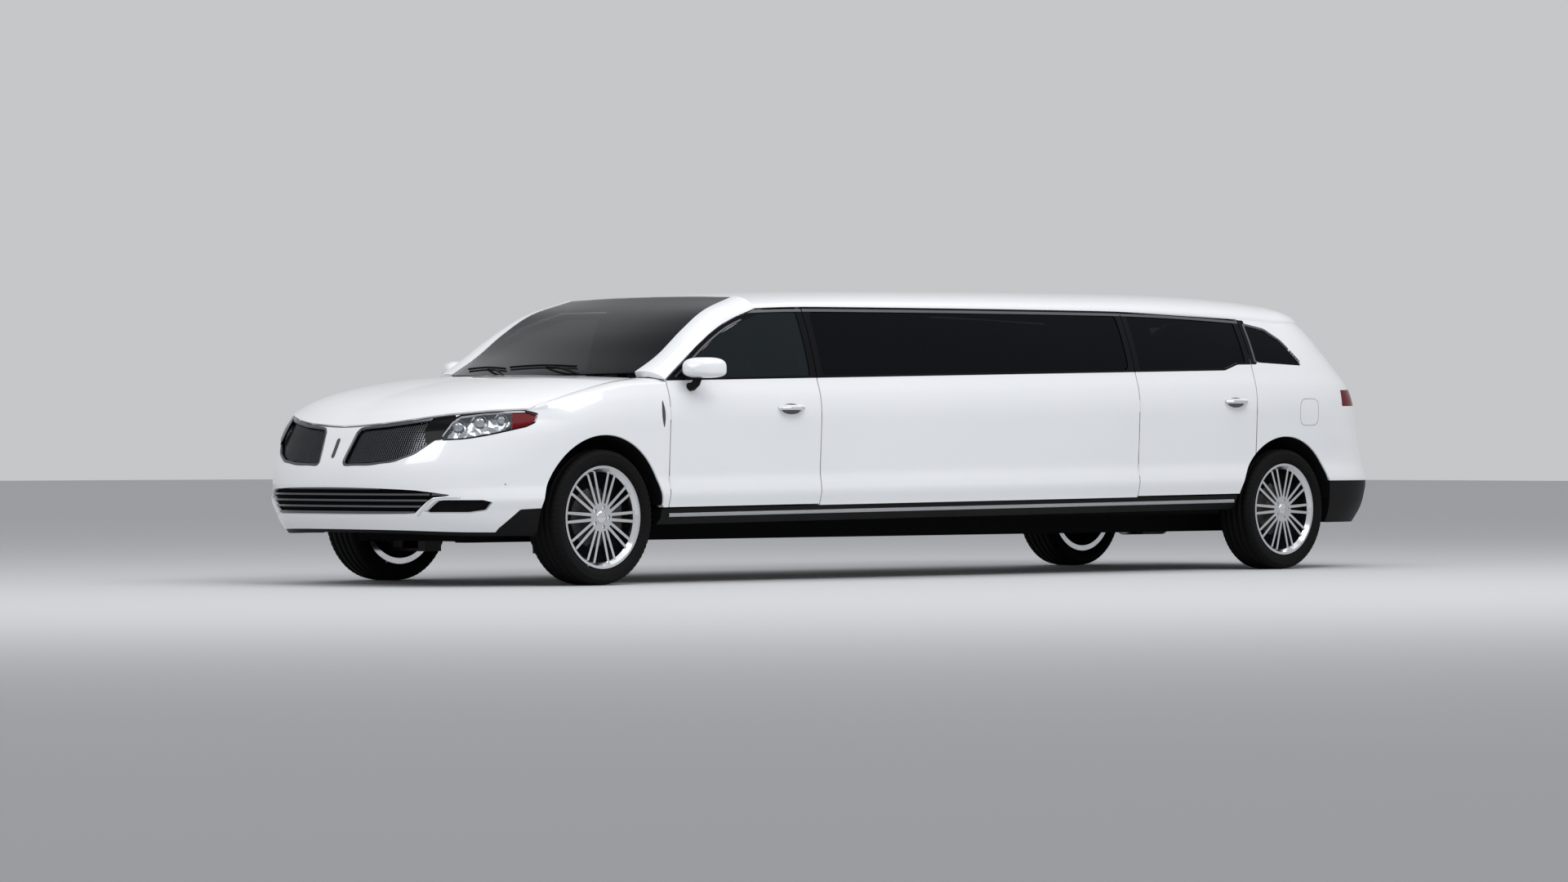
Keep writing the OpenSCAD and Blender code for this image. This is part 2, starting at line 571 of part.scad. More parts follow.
// Headlamps: solid lens blocks in the front corners
module headlamps() color([0.85, 0.88, 0.9]) both_sides() difference() {
    intersection() {
        nose_part(lamp_turns, [0.55, 0.7, 0.85, 1, 1.12], 1, 2 * skin_t);
        from_corner() headlamp_outline(-seat_gap);
    }
    from_front(xf, xf + 2000) wing_outline(seat_gap);
    from_side(0, 1100) fender_area(seat_gap);
    hood_room();
}
lamp_turns = [75, 66, 57, 48, 40, 32, 24, 16];

// Hood: a patch between the cowl, the front edge over lamps and grille, and two side edges
function hood_front(t) = let (z = smooth(hood_edge, t), p = plan(90 - hood_turn * t, nose_x(z),
    half_w - 25, nose_power, 0))
    [xf + p[0], p[1], z];
function hood_cowl(t) = [xf - 140 - 215 * t * t, t * hood_open_y, lerp(smooth(hood_mid, 0),
    smooth(hood_side, 0), t * t)];
function hood_pt(s, t) = let (m = t * t, c0 = hood_cowl(0), f0 = hood_front(0), c1 = hood_cowl(1),
    f1 = hood_front(1),
        p = lerp(hood_cowl(t), hood_front(t), s))
    [p[0], p[1] + 22 * m * s * (1 - s),
        p[2] + (1 - m) * (smooth(hood_mid, s) - lerp(c0[2], f0[2], s)) + m * (smooth(hood_side, s)
            - lerp(c1[2], f1[2], s))];
hood_s = [0, 0.15, 0.3, 0.45, 0.6, 0.72, 0.82, 0.9, 0.96, 1];
hood_t = [-1, -0.85, -0.68, -0.5, -0.34, -0.17, 0, 0.17, 0.34, 0.5, 0.68, 0.85, 1];
function hood_at(s, t) = let (p = hood_pt(s, abs(t))) [p[0], t < 0 ? -p[1] : p[1], p[2]];
module hood() color(white) {
    hood_skin();
    // Hinge eyes on arms under the rear corners
    both_sides() difference() {
        union() {
            hood_pivot() cylinder(d = eye_d, h = eye_w);
            translate([hood_hinge_x, hood_hinge_y, hood_hinge_z - 8]) cube([56, eye_w, 16]);
        }
        hood_pivot() translate([0, 0, -1]) cylinder(d = pin_d + 2 * seat_gap, h = eye_w + 2);
    }
}
hood_hinge_x = xf - 362;
hood_hinge_y = 730;
hood_hinge_z = 1112;
eye_d = 26;
eye_w = 20;
pin_d = 12;
module hood_pivot() translate([hood_hinge_x, hood_hinge_y, hood_hinge_z]) rotate([-90, 0, 0]) children();
module hood_skin() slab(
    [for (s = hood_s) [for (t = hood_t) hood_at(s, t)]],
    [for (s = hood_s) [for (t = hood_t) hood_at(s, t) - [0, s < 0.8 ? 14 * sign(t) : 0, hood_deep(s)]]]);
// The hood thins out to a lip at its front edge
function hood_deep(s) = lerp(skin_t - 6, 6, min(max((s - 0.8) / 0.16, 0), 1));
// Room that the closed hood needs, with its gap all round
room_s = concat(hood_s, [1.06]);
function room_at(s, t, dz) = hood_at(min(s, 1), t) + [s > 1 ? 90 : 0, panel_gap * sign(t), dz];
module hood_room() slab(
    [for (s = room_s) [for (t = hood_t) room_at(s, t, 160)]],
    [for (s = room_s) [for (t = hood_t) room_at(s, t, -hood_deep(s) - panel_gap * (s < 0.8 ? 1 : 1.8))]]);

// Front fenders: side skin round the arch, up over the shoulder to the hood's side edge
fender_cols = [474, 400, 300, 180, 60, -80, -220, -350, -500];
function fender_turn(a) = a <= 0 ? 0 : asin(pow(a / front_overhang, nose_power / 2));
function fender_side(a, r, inset) = a > 0 ? nose_pt(fender_turn(a), r, inset) : [xf + a, side_y(r)
    - inset, wall_z(xf + a, r)];
function fender_top(a) = let (c1 = hood_cowl(1), f1 = hood_front(1), s = min(max((xf + a - c1[0])
    / (f1[0] - c1[0]), 0), 1),
        h = hood_pt(s, 1)) [xf + a, h[1] + panel_gap, h[2]];
function fender_pt(a, r, inset) = r <= 1 ? fender_side(a, r, inset * (r < 0.8 ? 1 : r < 0.9 ? 0.6
    : 0.25)) :
    let (p = fender_side(a, 1, inset * 0.25), q = fender_top(a) - [0, 0, inset * 0.25], k = r - 1,
        wide = min(1, (p[1] - q[1]) / 120))
    lerp(p, q, k) + [0, 10, 40] * wide * k * (1 - k);
fender_rows = concat([0, 0.1, 0.16, 0.25, 0.5, 0.75, 0.88, 1], [1.5, 2]);
module front_fenders() color(white) both_sides() {
    fender_skin();
    door_pins(front_door_x, 520, 900);
}
// Hinge pins in a door's leading shut line, each on a web from the fixed panel
hinge_y = half_w - 6;
hinge_pin_r = half_gap - seat_gap;
module door_pins(x, z0, z1) for (z = [z0, z1]) translate([x, hinge_y, z]) {
    cylinder(r = hinge_pin_r, h = 70, $fn = 24);
    translate([0, -hinge_pin_r, 0]) cube([half_gap + 3, 1.4 * hinge_pin_r, 70]);
}
module fender_skin() difference() {
    intersection() {
        slab([for (a = fender_cols) [for (r = fender_rows) fender_pt(a, r, 0)]],
            [for (a = fender_cols) [for (r = fender_rows) fender_pt(a, r, skin_t)]]);
        from_side(0, 1100) intersection() {
            fender_area(-seat_gap);
            translate([front_door_x + half_gap, 0]) square(3000);
        }
    }
    arch_cut(xf);
}

// A-pillars between the windshield and the front doors
pillar_k = [0, 0.12, 0.25, 0.4, 0.55, 0.7, 0.85, 1];
function screen_edge(k) = [xf - smooth(screen_rows, k, 1), smooth(screen_rows, k, 2),
    smooth(screen_rows, k, 3)];
function pillar_edge(k) = [xf - smooth(pillar_rows, k, 1), smooth(pillar_rows, k, 2),
    smooth(pillar_rows, k, 3)];
function pillar_mid(k) = (screen_edge(k) + pillar_edge(k)) / 2 + [10, 22, 22];
module a_pillars() color(white) both_sides() slab(
    [for (k = pillar_k) [pillar_edge(k), pillar_mid(k), screen_edge(k)]],
    [for (k = pillar_k) [pillar_edge(k) + [8, -frame_t, 4], pillar_mid(k) - [8, frame_t * 0.8,
        frame_t * 0.6],
        screen_edge(k) - [12, -1, frame_t * 0.6]]]);

// Windshield: curved sheet between the pillars, from the cowl to the roof
screen_s = [0, 0.12, 0.25, 0.4, 0.55, 0.7, 0.85, 1];
screen_t = [1, 0.85, 0.65, 0.4, 0.15, -0.15, -0.4, -0.65, -0.85, -1];
function screen_pt(k, t) = let (e = screen_edge(k), m = t * t)
    [lerp(xf - smooth(screen_mid, k, 1), e[0], m), t * (e[1] - seat_gap), lerp(smooth(screen_mid, k,
        2), e[2], m)];
module windshield() color(smoke) slab(
    [for (k = screen_s) [for (t = screen_t) screen_pt(k, t)]],
    [for (k = screen_s) [for (t = screen_t) screen_pt(k, t) - [glass_t * 0.5, 0, glass_t]]]);

// Roof: one skin over the whole cabin, its edges standing on the side walls
roof_t = [-1, -0.985, -0.94, -0.86, -0.7, -0.45, 0, 0.45, 0.7, 0.86, 0.94, 0.985, 1];
roof_front = xf - 1256;
function roof_half(x) = let (b = xr - tail_start - x, p = smooth(tail_power, 1500))
    b <= 0 ? rail_half : rail_half * pow(1 - pow(b / roof_round, p), 1 / p);
roof_round = tail_x(rail_z(xr - tail_start)) - tail_start;
function roof_arch(t) = pow(1 - pow(abs(t), 3.4), 0.526);
function roof_pt(x, t) = let (z = rail_z(max(x, xr - tail_start)) + seat_gap)
    [x - (x > xf - 1400 ? 44 * t * t : 0), t * roof_half(x), z + (crown_z(x) - z) * roof_arch(t)];
// The same stations as the side walls have, so that the edge seats on them
roof_x = concat([roof_back], [for (c = [44, 32, 18, 0, -0.2, -0.6, -1]) quarter_pt(c, 2, 0)[0]],
    stretch_xs,
    [xf - 1600, roof_front]);
module roof() color(white) {
    roof_skin();
    // Liftgate hinge pins in the shut line, on webs from the roof's rear edge
    both_sides() translate([gate_hinge_x, 110, gate_hinge_z]) {
        rotate([-90, 0, 0]) cylinder(r = hinge_pin_r, h = 80, $fn = 24);
        translate([0, 0, -hinge_pin_r]) cube([half_gap + 6, 80, 1.4 * hinge_pin_r]);
    }
}
gate_hinge_x = roof_back - half_gap;
gate_hinge_z = crown_z(roof_back) - 2;
module roof_skin() slab(
    [for (x = roof_x) [for (t = roof_t) roof_pt(x, t)]],
    [for (x = roof_x) [for (t = roof_t) let (p = roof_pt(x, t), q = 1 - frame_t / rail_half)
        [p[0], p[1] * q, p[2] - skin_t * roof_arch(t)]]]);

// Sill trims along the whole side between the arches
sill_cols = [front_door_x + 40, xr + arch_r * 0.98];
sill_drop = 88;
// Share of the way down, inset from the door's lower edge
sill_rows = [[1, 58], [0.6, 24], [0, 12]];
module sill_trims() color(black) both_sides() difference() {
    slab([for (x = sill_cols) [for (r = sill_rows) [x, side_y(0) - r[1], sill_z(x)
        - panel_gap - r[0] * sill_drop]]],
        [for (x = sill_cols) [for (r = sill_rows) [x, floor_half, sill_z(x)
            - panel_gap - r[0] * sill_drop]]]);
    arch_cut(xf);
    arch_cut(xr);
}

// Floor, frame rails and what hangs on them
floor_half = 800;
floor_z = rail_under + rail_deep;
firewall_x = xf - 560;
floor_back = xr - 950;
well_in = half_track - 240;
step_x = xr + 240;
diff_d = 200;
load_floor_z = hub_z + diff_d / 2 + 10;
module floor_area(x0, x1) difference() {
    translate([x0, -floor_half]) square([x1 - x0, 2 * floor_half]);
    for (side = [-1, 1])
        translate([xr - 1500, side > 0 ? well_in : -well_in - 400]) square([1500 + arch_r + 14, 400]);
}
module floor_pan() color(black) {
    translate([0, 0, floor_z]) linear_extrude(floor_t) floor_area(step_x, firewall_x);
    // The load floor steps up over the rear axle
    translate([0, 0, load_floor_z]) linear_extrude(floor_t) floor_area(floor_back, step_x + floor_t);
    translate([step_x, -well_in, floor_z]) cube([floor_t, 2 * well_in, load_floor_z - floor_z + floor_t]);
}
pad_x = [xf - 760, xr + 760];
cross_x = [xf + 520, xf - 700, xf - 1900, 0, xr + 1900, xr + 190, floor_back + 90];
rail_w = 80;
rail_front = xf + 560;
module frame_rails() color(black) {
    for (side = [-1, 1]) {
        translate([floor_back + 40, side * rail_at - rail_w / 2, rail_under])
            cube([rail_front - floor_back - 40, rail_w, rail_deep]);
        for (x = pad_x) translate([x, side * rail_at, rail_under - 14]) cylinder(d = pad_d, h = 15);
        // Upright and horn that carry the bumper beam
        translate([rail_front - 50, side * rail_at - 30, rail_under]) cube([50, 60,
            horn_z + 50 - rail_under]);
        translate([rail_front - 50, side * rail_at - 30, horn_z]) cube([front_overhang - 115 - 510, 60,
            50]);
    }
    difference() {
        for (x = cross_x) translate([x - 40, -rail_at, rail_under + 6]) cube([80, 2 * rail_at,
            rail_deep - 12]);
        exhaust_pipe(pipe_d + 2 * seat_gap);
    }
    // Bumper beam, seated behind the nose skin
    both_sides() nose_part([90, 83, 76, 69, 62, 55], [0.4, 0.55], skin_t + seat_gap, skin_t + 70);
    // Tail mounts that carry the load floor and the rear bumper
    for (side = [-1, 1]) {
        translate([floor_back + 40, side * rail_at - 30, rail_under]) cube([60, 60,
            load_floor_z - seat_gap - rail_under]);
        translate([floor_back - 2, side * rail_at - 30, floor_z - 44]) cube([102, 60, 44]);
    }
    // Rear beam, seated in front of the valance
    tail_ring([-38, -26, -13, 0, 13, 26, 38], [330, 400], 2 * skin_t + seat_gap, 2 * skin_t + 50);
}
horn_z = 588;
// Wheelhouse liners: half rings over the tyres with an inner wall
liner_t = 8;
module liner(x, y0, y1) {
    translate([x, y0, hub_z]) rotate([-90, 0, 0]) difference() {
        cylinder(r = arch_r - seat_gap, h = y1 - y0);
        translate([0, 0, liner_t]) cylinder(r = arch_r - seat_gap - liner_t, h = y1);
        translate([-600, -120, -1]) cube([1200, 800, 1000]);
    }
}
module wheelhouses() color(black) both_sides() {
    liner(xf, half_track - 362, half_w - 53);
    liner(xr, well_in, half_w - door_t - 5);
}
kingpin_y = half_track - kingpin_in;
arm_z = hub_z - 202;
arm_t = 16;
module front_axle() color(grey) {
    // Cross frame under the engine with the two lower arms
    translate([xf - 330, -rail_at - 40, floor_z + seat_gap]) cube([660, 2 * rail_at + 80,
        subframe_t - seat_gap]);
    for (side = [-1, 1]) {
        translate([xf - 60, side * (rail_at + 70.5) - 30, arm_z]) cube([120, 60,
            floor_z + subframe_t - arm_z]);
        translate([xf - 60, side * (rail_at + 40) - 10, floor_z + seat_gap]) cube([120, 20,
            subframe_t - seat_gap]);
        hull() {
            translate([xf, side * kingpin_y, arm_z]) cylinder(d = 52, h = arm_t, $fn = 32);
            for (dx = [-45, 45]) translate([xf + dx, side * (rail_at + 70), arm_z]) cylinder(d = 44,
                h = arm_t, $fn = 32);
        }
    }
}
hub_in = half_track - 30 - seat_gap;
// The rear axle's tube just clears the rails; saddles seat it on them
module rear_axle() color(grey) {
    translate([xr, -hub_in, hub_z]) rotate([-90, 0, 0]) cylinder(d = 2 * (hub_z - floor_z),
        h = 2 * hub_in);
    translate([xr, -110, hub_z]) rotate([-90, 0, 0]) cylinder(d = diff_d, h = 220);
    for (side = [-1, 1])
        translate([xr - 45, side * rail_at - 30, floor_z + seat_gap]) cube([90, 60,
            hub_z - floor_z - seat_gap]);
}
pipe_d = 60;
pipe_y = 190;
pipe_z = rail_under + 44;
module exhaust_pipe(d) translate([xr - 800, pipe_y, pipe_z]) rotate([0, 90, 0]) cylinder(d = d,
    h = wheelbase);
module exhaust() color([0.5, 0.5, 0.52]) {
    exhaust_pipe(pipe_d);
    // Muffler ahead of the rear axle
    translate([xr + 290, pipe_y, pipe_z]) rotate([0, 90, 0]) cylinder(d = 2 * pipe_d + 10, h = 360);
}
module fuel_tank() color(black) translate([xr + 700, -330, rail_under + 4]) cube([900, 420,
    rail_deep - 4 - seat_gap]);
subframe_t = 24;
module engine_block() color(grey) translate([xf - 240, -330, floor_z + subframe_t + seat_gap])
    cube([620, 660, 470]);

// Cabin
module firewall() color(black) {
    translate([firewall_x, -floor_half, floor_z]) cube([30, 2 * floor_half, 1010 - floor_z]);
    // Cowl panel under the windshield's foot
    slab([for (t = [-1, -0.6, -0.2, 0.2, 0.6, 1]) let (a = cowl_in(t), b = cowl_out(t)) [b, a]],
        [for (t = [-1, -0.6, -0.2, 0.2, 0.6, 1]) let (a = cowl_in(t), b = cowl_out(t)) [b - [0, 0, 24],
            a - [0, 0, 24]]]);
    // Legs down to the firewall, and the hood's hinge pins
    both_sides() {
        translate([firewall_x, 640, 1000]) cube([30, 60, 40]);
        translate([firewall_x, 640, 1030]) cube([200, 60, 84]);
        translate([hood_hinge_x - 24, hood_hinge_y - 20 - seat_gap, hood_hinge_z - 12]) cube([24, 20,
            16]);
        hood_pivot() translate([0, 0, -15]) cylinder(d = pin_d, h = eye_w + 15);
    }
}
function cowl_in(t) = let (p = screen_pt(0, t)) [p[0] - 30, p[1], p[2] - 22];
function cowl_out(t) = let (p = screen_pt(0, t)) [p[0] + 30, p[1], p[2] - 40];
dash_deep = 420;
dash_back = firewall_x - dash_deep;
module dashboard() color(black) {
    translate([dash_back, -floor_half + 60, 760]) cube([dash_deep - seat_gap, 2 * floor_half - 120, 250]);
    // Steering column
    intersection() {
        translate([column_x, column_y, column_z]) rotate([0, -column_lean, 0]) translate([0, 0, -400])
            cylinder(d = 44, h = 385);
        translate([0, 0, 760]) cube([firewall_x - 10, 1000, 300]);
    }
}
module seat(x, y, w) {
    translate([x - 500, y - w / 2, floor_z + floor_t]) cube([500, w, 330]);
    translate([x - 560, y - w / 2, floor_z + floor_t]) rotate([0, -10, 0]) cube([110, w, 720]);
}
seat_x = xf - 960;
module front_seats() color([0.15, 0.15, 0.16]) both_sides() seat(seat_x, 380, 520);
partition_x = front_door_back - 60;
module partition() color(black) from_front(partition_x, partition_x + 40) polygon([for (side = [-1, 1],
    p = [[0, 0], [1, 1]])
    let (k = side < 0 ? p[0] : 1 - p[1], top = side < 0 ? p[0] : 1 - p[0])
    [side * (top == 0 ? floor_half - 20 : rail_half - 90), top == 0 ? floor_z + floor_t
        : rail_z(partition_x) - 40]]);
module lounge_seats() color([0.1, 0.1, 0.11]) {
    // Rear bench across the car and a long bench down the right side
    translate([xr + 420, -560, floor_z + floor_t]) cube([560, 1120, 330]);
    translate([xr + 300, -560, floor_z + floor_t]) cube([118, 1120, 720]);
    translate([rear_door_x + 60, -floor_half + 10, floor_z + floor_t]) cube([2300, 480, 330]);
}
column_x = firewall_x - 500;
column_y = 380;
column_z = 985;
column_lean = 65;
module steering_wheel() color(black) translate([column_x, column_y, column_z]) rotate([0, -column_lean,
    0]) {
    rotate_extrude() translate([175, 0]) circle(d = 28);
    translate([0, 0, -15 + seat_gap]) cylinder(d = 110, h = 30);
    for (a = [0, 120, 240]) rotate([0, 0, a + 90]) translate([0, -11, -6]) cube([176, 22, 12]);
}

// Steering knuckles: upright, spindle and caliper
upright_y = half_track - 95;
upright_t = 37;
module knuckle() {
    foot_z = arm_z + arm_t + seat_gap;
    // Foot over the arm's ball joint, under the brake disc
    translate([xf, kingpin_y, foot_z]) cylinder(d = 48, h = 14);
    translate([xf - 24, upright_y, foot_z]) cube([48, kingpin_y - upright_y, 14]);
    translate([xf - 35, upright_y, foot_z]) cube([70, upright_t, hub_z + 60 - foot_z]);
    // Spindle up to the brake disc's hub
    translate([xf, upright_y, hub_z]) rotate([-90, 0, 0]) cylinder(d = 84, h = hub_in - upright_y);
    // Caliper astride the disc's rear edge
    difference() {
        translate([xf - 205, upright_y + 10, hub_z - 70]) cube([205, 120, 140]);
        translate([xf, half_track - 38, hub_z]) rotate([-90, 0, 0]) cylinder(d = disc_d + 14, h = 48);
        translate([xf - 130, upright_y + upright_t, hub_z - 100]) cube([200, 200, 200]);
    }
}
module knuckle_left() color(grey) knuckle();
module knuckle_right() color(grey) mirror([0, 1, 0]) knuckle();

// Wheels turned about +Y at the origin, outer face at +Y
rim_face = tyre_w / 2 - 18;
module rim() rotate([-90, 0, 0]) {
    // Barrel with its two lips
    rotate_extrude() polygon([[rim_d / 2 - 36, -tyre_w / 2 + 14], [rim_d / 2 - 4, -tyre_w / 2 + 14],
        [rim_d / 2 - 4, -tyre_w / 2 + 26],
        [rim_d / 2 - 24, -tyre_w / 2 + 40], [rim_d / 2 - 24, rim_face - 26], [rim_d / 2,
            rim_face - 12], [rim_d / 2, rim_face],
        [rim_d / 2 - 14, rim_face], [rim_d / 2 - 34, rim_face - 22]]);
    // Paired spokes
    translate([0, 0, rim_face - 38]) linear_extrude(24) difference() {
        union() {
            circle(78);
            for (i = [0 : spoke_pairs - 1], side = [-1, 1]) rotate(i * 360 / spoke_pairs)
                polygon([[40, side * 12 - spoke_w * 0.6], [rim_d / 2 - 30, side * 25 - spoke_w / 2],
                    [rim_d / 2 - 30, side * 25 + spoke_w / 2], [40, side * 12 + spoke_w * 0.6]]);
        }
        for (i = [0 : 4]) rotate(i * 72 + 36) translate([56, 0]) circle(11);
    }
    // Hub and brake disc
    translate([0, 0, -30]) cylinder(d = disc_d, h = 28);
    translate([0, 0, -6]) cylinder(d = 150, h = rim_face - 20);
}
module tyre() rotate([-90, 0, 0]) rotate_extrude() difference() {
    intersection() {
        translate([0, -tyre_w / 2]) square([tyre_d / 2, tyre_w]);
        translate([tyre_d / 2 - 2 * tyre_w, 0]) circle(2 * tyre_w);
        union() {
            translate([0, -tyre_w / 2 + 14]) square([tyre_d / 2, tyre_w - 28]);
            for (side = [-1, 1]) translate([rim_d / 2 + 40, side * (tyre_w / 2 - 46)]) circle(46);
        }
    }
    translate([-1, -tyre_w]) square([rim_d / 2 + seat_gap + 1, 2 * tyre_w]);
}
module at_wheel(x) translate([x, half_track, hub_z]) children();
silver = [0.75, 0.76, 0.78];
module rim_front_left() color(silver) at_wheel(xf) rim();
module rim_front_right() color(silver) mirror([0, 1, 0]) at_wheel(xf) rim();
module rim_rear_left() color(silver) at_wheel(xr) rim();
module rim_rear_right() color(silver) mirror([0, 1, 0]) at_wheel(xr) rim();
module tyre_front_left() color(black) at_wheel(xf) tyre();
module tyre_front_right() color(black) mirror([0, 1, 0]) at_wheel(xf) tyre();
module tyre_rear_left() color(black) at_wheel(xr) tyre();
module tyre_rear_right() color(black) mirror([0, 1, 0]) at_wheel(xr) tyre();

floor_pan();
frame_rails();
wheelhouses();
front_axle();
rear_axle();
exhaust();
fuel_tank();
engine_block();
sill_trims();
firewall();
dashboard();
partition();
front_seats();
lounge_seats();
front_bumper();
grilles();
headlamps();
front_fenders();
a_pillars();
windshield();
roof();
stretch_panels();
side_windows();
rear_quarters();
tail_lamps();
rear_bumper();
rear_valance();
hood();
liftgate();
liftgate_glass();
gate_lamp();
door_front_left();
door_front_right();
door_rear_left();
door_rear_right();
glass_front_left();
glass_front_right();
glass_rear_left();
glass_rear_right();
mirror_left();
mirror_right();
knuckle_left();
knuckle_right();
rim_front_left();
rim_front_right();
rim_rear_left();
rim_rear_right();
tyre_front_left();
tyre_front_right();
tyre_rear_left();
tyre_rear_right();
steering_wheel();
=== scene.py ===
"""Looks of the stretch limousine: painted skins, glass, lamps, trim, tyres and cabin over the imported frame."""
import math

import bpy
import numpy as np
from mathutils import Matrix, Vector


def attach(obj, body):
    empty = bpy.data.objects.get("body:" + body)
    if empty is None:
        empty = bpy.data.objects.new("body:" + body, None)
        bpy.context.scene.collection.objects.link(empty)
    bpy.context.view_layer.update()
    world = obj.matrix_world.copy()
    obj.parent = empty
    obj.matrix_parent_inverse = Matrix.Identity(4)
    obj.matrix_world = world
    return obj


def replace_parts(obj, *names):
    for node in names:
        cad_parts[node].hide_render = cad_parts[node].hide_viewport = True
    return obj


# Camera: it stands far off the left front corner, at bumper height, with a long lens.
# Its place was found by fitting the wheels of the photograph.
YAW, RISE = math.radians(45.497), 0.0013
scene = bpy.context.scene
lens = bpy.data.cameras.new("camera")
lens.sensor_width = 36.0
lens.lens = 128.9
lens.clip_end = 300.0
camera = bpy.data.objects.new("camera", lens)
scene.collection.objects.link(camera)
scene.camera = camera
camera.location = (23.9125, 22.98, 0.744)
camera.rotation_euler = Vector((-math.sin(YAW), -math.cos(YAW), RISE)).to_track_quat("-Z", "Y").to_euler()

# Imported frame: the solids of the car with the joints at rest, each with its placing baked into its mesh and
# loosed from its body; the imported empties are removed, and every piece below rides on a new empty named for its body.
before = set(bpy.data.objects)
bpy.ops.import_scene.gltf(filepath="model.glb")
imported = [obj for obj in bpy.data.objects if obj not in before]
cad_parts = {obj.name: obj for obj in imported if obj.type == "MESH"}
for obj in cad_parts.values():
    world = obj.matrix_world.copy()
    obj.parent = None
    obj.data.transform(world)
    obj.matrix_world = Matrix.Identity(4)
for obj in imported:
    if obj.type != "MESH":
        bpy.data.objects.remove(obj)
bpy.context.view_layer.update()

# Body sides: pressed steel door skins, and between them the long panel that stretches the car,
# sprayed white under a clear coat. Each is a thin sheet on the body's curve with a turned-in rim.
MM = 0.001  # sizes are in millimetres, as in the part's source
SIDES = (("left", 1.0), ("right", -1.0))
WHEELBASE, FRONT, REAR = 5795.0, 1155.0, 1125.0
XF = (WHEELBASE + REAR - FRONT) / 2
XR = XF - WHEELBASE
HALF_W, ROOF_H, SILL_H, BELT_H, RAIL_HALF = 965.0, 1685.0, 417.0, 1093.0, 790.0
SILL_RISE, BELT_RISE = 0.0096, 0.0215
GAP, HUB_Z, ARCH_R = 8.0, 370.0, 450.0
HALF = GAP / 2
FD_X = XF - 488.0
FD_BACK = FD_X - 1188.0
RD_BACK = XR + 290.0
RD_X = RD_BACK + 1095.0
KICK_X = RD_BACK + 150
TAIL_START = 105.0
SIDE_ROWS = [[-0.3, 75], [-0.15, 40], [0, 20], [0.1, 3], [0.16, 6], [0.25, 15], [0.5, 8], [0.75, 3], [0.88, 14],
             [1, 40]]
SHOULDER_ROWS = [[-465, 0], [-200, 8], [0, 35], [250, 85], [480, 131], [900, 158], [1155, 220]]
RAIL_ROWS = [[XR - 600, 168], [XR - 105, 168], [XR + 85, 158], [XR + 855, 129], [XR + 1605, 121], [XF - 1810, 139],
             [XF - 1310, 153], [XF - 800, 185]]
PILLAR_ROWS = [[0, 478, 925, 1122], [0.25, 640, 898, 1228], [0.5, 837, 863, 1351], [0.75, 1040, 828, 1448],
               [1, 1301, 796, 1528]]


def lerp(a, b, t):
    """The value a share t of the way from a to b."""
    return a + (b - a) * t


def smooth(table, x, col=1):
    """Smooth curve through a table: cubics between rows, each with the slope from the row before to the row after."""
    t = np.array(table, float)
    at, v, n = t[:, 0], t[:, col], len(t)
    hi, lo = np.minimum(np.arange(n) + 1, n - 1), np.maximum(np.arange(n) - 1, 0)
    slope = (v[hi] - v[lo]) / (at[hi] - at[lo])
    x = np.clip(np.asarray(x, float), at[0], at[-1])
    i = np.clip(np.searchsorted(at, x, side="right") - 1, 0, n - 2)
    h = at[i + 1] - at[i]
    s = (x - at[i]) / h
    q = 1 - s
    return (v[i] * (1 + 2 * s) * q * q + v[i + 1] * s * s * (3 - 2 * s)
            + h * s * q * (slope[i] * q - slope[i + 1] * s))


def sill_z(x):
    """Height of the sill, a straight line that rises to the tail."""
    return SILL_H + SILL_RISE * (XF - x)


def belt_z(x):
    """Height of the window sills, a straight line that rises to the tail."""
    return BELT_H + BELT_RISE * (XF - x)


def rail_z(x):
    """Height of the roof rail: the roof's height less the rail table, level past the start of the tail."""
    return ROOF_H - smooth(RAIL_ROWS, np.maximum(x, XR - TAIL_START))


def shoulder_z(x):
    """Height of the shoulder: the belt less a drop along the fender."""
    return belt_z(x) - smooth(SHOULDER_ROWS, x - XF)


def side_y(r):
    """Half width at a share r of the way from sill to shoulder."""
    return HALF_W - smooth(SIDE_ROWS, r)


def wall_y(r):
    """Half width up to the shoulder (r to 1), then leaning in to the rail (r to 2) with a slight bow."""
    return np.where(r <= 1, side_y(r), lerp(HALF_W - 40, RAIL_HALF, r - 1) + 50 * (r - 1) * (2 - r))


def wall_z(x, r):
    """Height at r: from sill to shoulder, then from belt to rail."""
    return np.where(r <= 1, lerp(sill_z(x), shoulder_z(x), r), lerp(belt_z(x), rail_z(x), r - 1))


def wall(xs, rs, inset=0.0):
    """Grid of the left side over places along the car and shares up its height."""
    x, r = np.meshgrid(xs, rs, indexing="ij")
    return np.stack([x, wall_y(r) - inset, wall_z(x, r)], -1)


def mirrored(p, side):
    """The points, with their sideways place turned over on the right side."""
    return np.asarray(p) * np.array([1.0, side, 1.0])


class Wire:
    """A shader value that stands in sums: each operator adds a Math node."""

    def __init__(self, tree, socket):
        self.tree, self.socket = tree, socket

    def node(self, kind, settings, sockets, out=0):
        """Any node: its settings are set first, then the values or links of its sockets."""
        made = self.tree.nodes.new(kind)
        for key, value in settings.items():
            setattr(made, key, value)
        for key, value in sockets.items():
            if isinstance(value, Wire):
                self.tree.links.new(value.socket, made.inputs[key])
            else:
                made.inputs[key].default_value = value
        return Wire(self.tree, made.outputs[out])

    def __add__(self, other):
        return self.node("ShaderNodeMath", {"operation": "ADD"}, {0: self, 1: other})

    def __mul__(self, other):
        return self.node("ShaderNodeMath", {"operation": "MULTIPLY"}, {0: self, 1: other})

    __radd__, __rmul__ = __add__, __mul__


